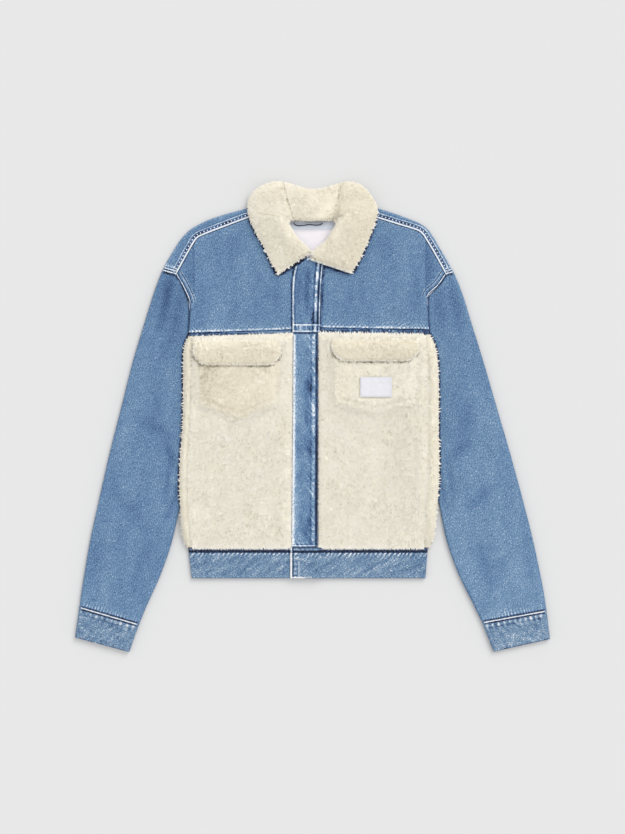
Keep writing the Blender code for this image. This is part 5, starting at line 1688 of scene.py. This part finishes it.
def hanger_loop():
    middle, across = spline(HANGER_LOOP, 61), np.linspace(1, -1, 9)
    plan = np.stack([offset(middle, LOOP_HALF * share) for share in across], axis=1)
    base = DENIM + SEAM_GAP
    ripple = 0.12 * np.sin(np.arange(len(middle)) * 1.3)[:, None]
    height = base + TAPE - 0.9 * np.abs(across)[None, :] ** 2.4 + ripple
    effect = plain(plan)
    effect.wear = effect.wear * 0
    # Painted shadow: the lower half of the tape is dark, along its lower edge
    effect.shade = np.broadcast_to(1.5 * smoothstep((0.1 - across) / 0.5), plan.shape[:2])
    cloth_piece("hanger_loop", *slab(plan, height, base), effect, (10, 56), ["back_yoke"], material=tape,
                lining=tape, finish="tape")


# Every piece, in the order in which the jacket is sewn
back_yoke(11)
back_panel(111)
placket("placket_upper", PLACKET_UPPER, steps((0.12, 14), (0.84, 42), (1.0, 20)), DENIM_DOUBLE,
        ["front_yoke_right", "front_yoke_left"], upper_placket_wear, 303)
placket("placket_lower", PLACKET_LOWER, steps((0.03, 8), (0.95, 132), (1.0, 16)), PLACKET_TOP - FRONT_BASE,
        ["back_panel"], lower_placket_wear, 404)
waistband(505)
for index, side in enumerate(INWARD):
    front_yoke(side, 101 + 101 * index)
    sleeve(side, 606 + 101 * index)
    cuff(side, 808 + 101 * index)
    front_panel(side, 21 + index)
    side_panel(side, 31 + index)
    pocket(side, 41 + index)
    flap(side, 51 + index)
collar(61)
under_collar()
hanger_loop()
label("neck_label", NECK_LABEL, lambda at: np.full(at.shape[:-1], DENIM), satin, ["back_yoke"], 0.12)
label("chest_label", CHEST_LABEL, lambda at: pile_top(at) + LAYER_GAP + POCKET_PILE, woven,
      ["pocket_left"], 0.2)


# ---- Stage ----

PAPER = 0.638  # how pale the paper is
PAPER_GRAIN = 0.004
PAPER_HALF = 6.0  # metres, from its middle to each edge
LONG_SIDE = 1.376  # metres of floor along the long side of the picture


def add(name, data):
    made = bpy.data.objects.new(name, data)
    bpy.context.scene.collection.objects.link(made)
    return made


def floor():
    mesh = bpy.data.meshes.new("floor")
    corners = [(x * PAPER_HALF, y * PAPER_HALF, 0) for x, y in ((-1, -1), (1, -1), (1, 1), (-1, 1))]
    mesh.from_pydata(corners, [], [(0, 1, 2, 3)])
    made = add("floor", mesh)
    made.location.z = -0.0003
    surface, tree, shader = new_material("floor_paper", 0.95, specular=0.0)
    grain = node(tree, "TexNoise", {"Vector": position(tree), "Scale": 900.0}).outputs["Fac"]
    stops = [(0.0, (PAPER - PAPER_GRAIN,) * 3), (1.0, (PAPER + PAPER_GRAIN,) * 3)]
    paint(tree, shader, ramp(tree, grain, stops))
    mesh.materials.append(surface)


def far_light(name, place, strength, spread):
    """Even light over the whole floor from one direction; spread is how soft its shadows are, in degrees."""
    data = bpy.data.lights.new(name, "SUN")
    data.energy, data.angle = strength, np.radians(spread)
    made = add(name, data)
    made.location = place
    made.rotation_euler = Vector(place).to_track_quat("Z", "Y").to_euler()


def studio():
    world = bpy.data.worlds.new("studio")
    bpy.context.scene.world = world
    world.use_nodes = True
    sky = world.node_tree.nodes["Background"].inputs
    sky["Color"].default_value, sky["Strength"].default_value = (0.86, 0.86, 0.86, 1), 1.0
    far_light("key", (1.1, 1.6, 1.7), 1.35, 34)
    far_light("overhead", (0.2, 0.4, 2.0), 0.4, 60)
    bpy.context.scene.view_settings.view_transform = "Standard"


def camera():
    """Straight above, at the height that shows LONG_SIDE of floor."""
    data = bpy.data.cameras.new("camera")
    data.lens, data.sensor_width = 100, 36
    made = add("camera", data)
    made.location = (0, -0.0008, LONG_SIDE * data.lens / data.sensor_width + 0.006)
    bpy.context.scene.camera = made


floor()
studio()
camera()
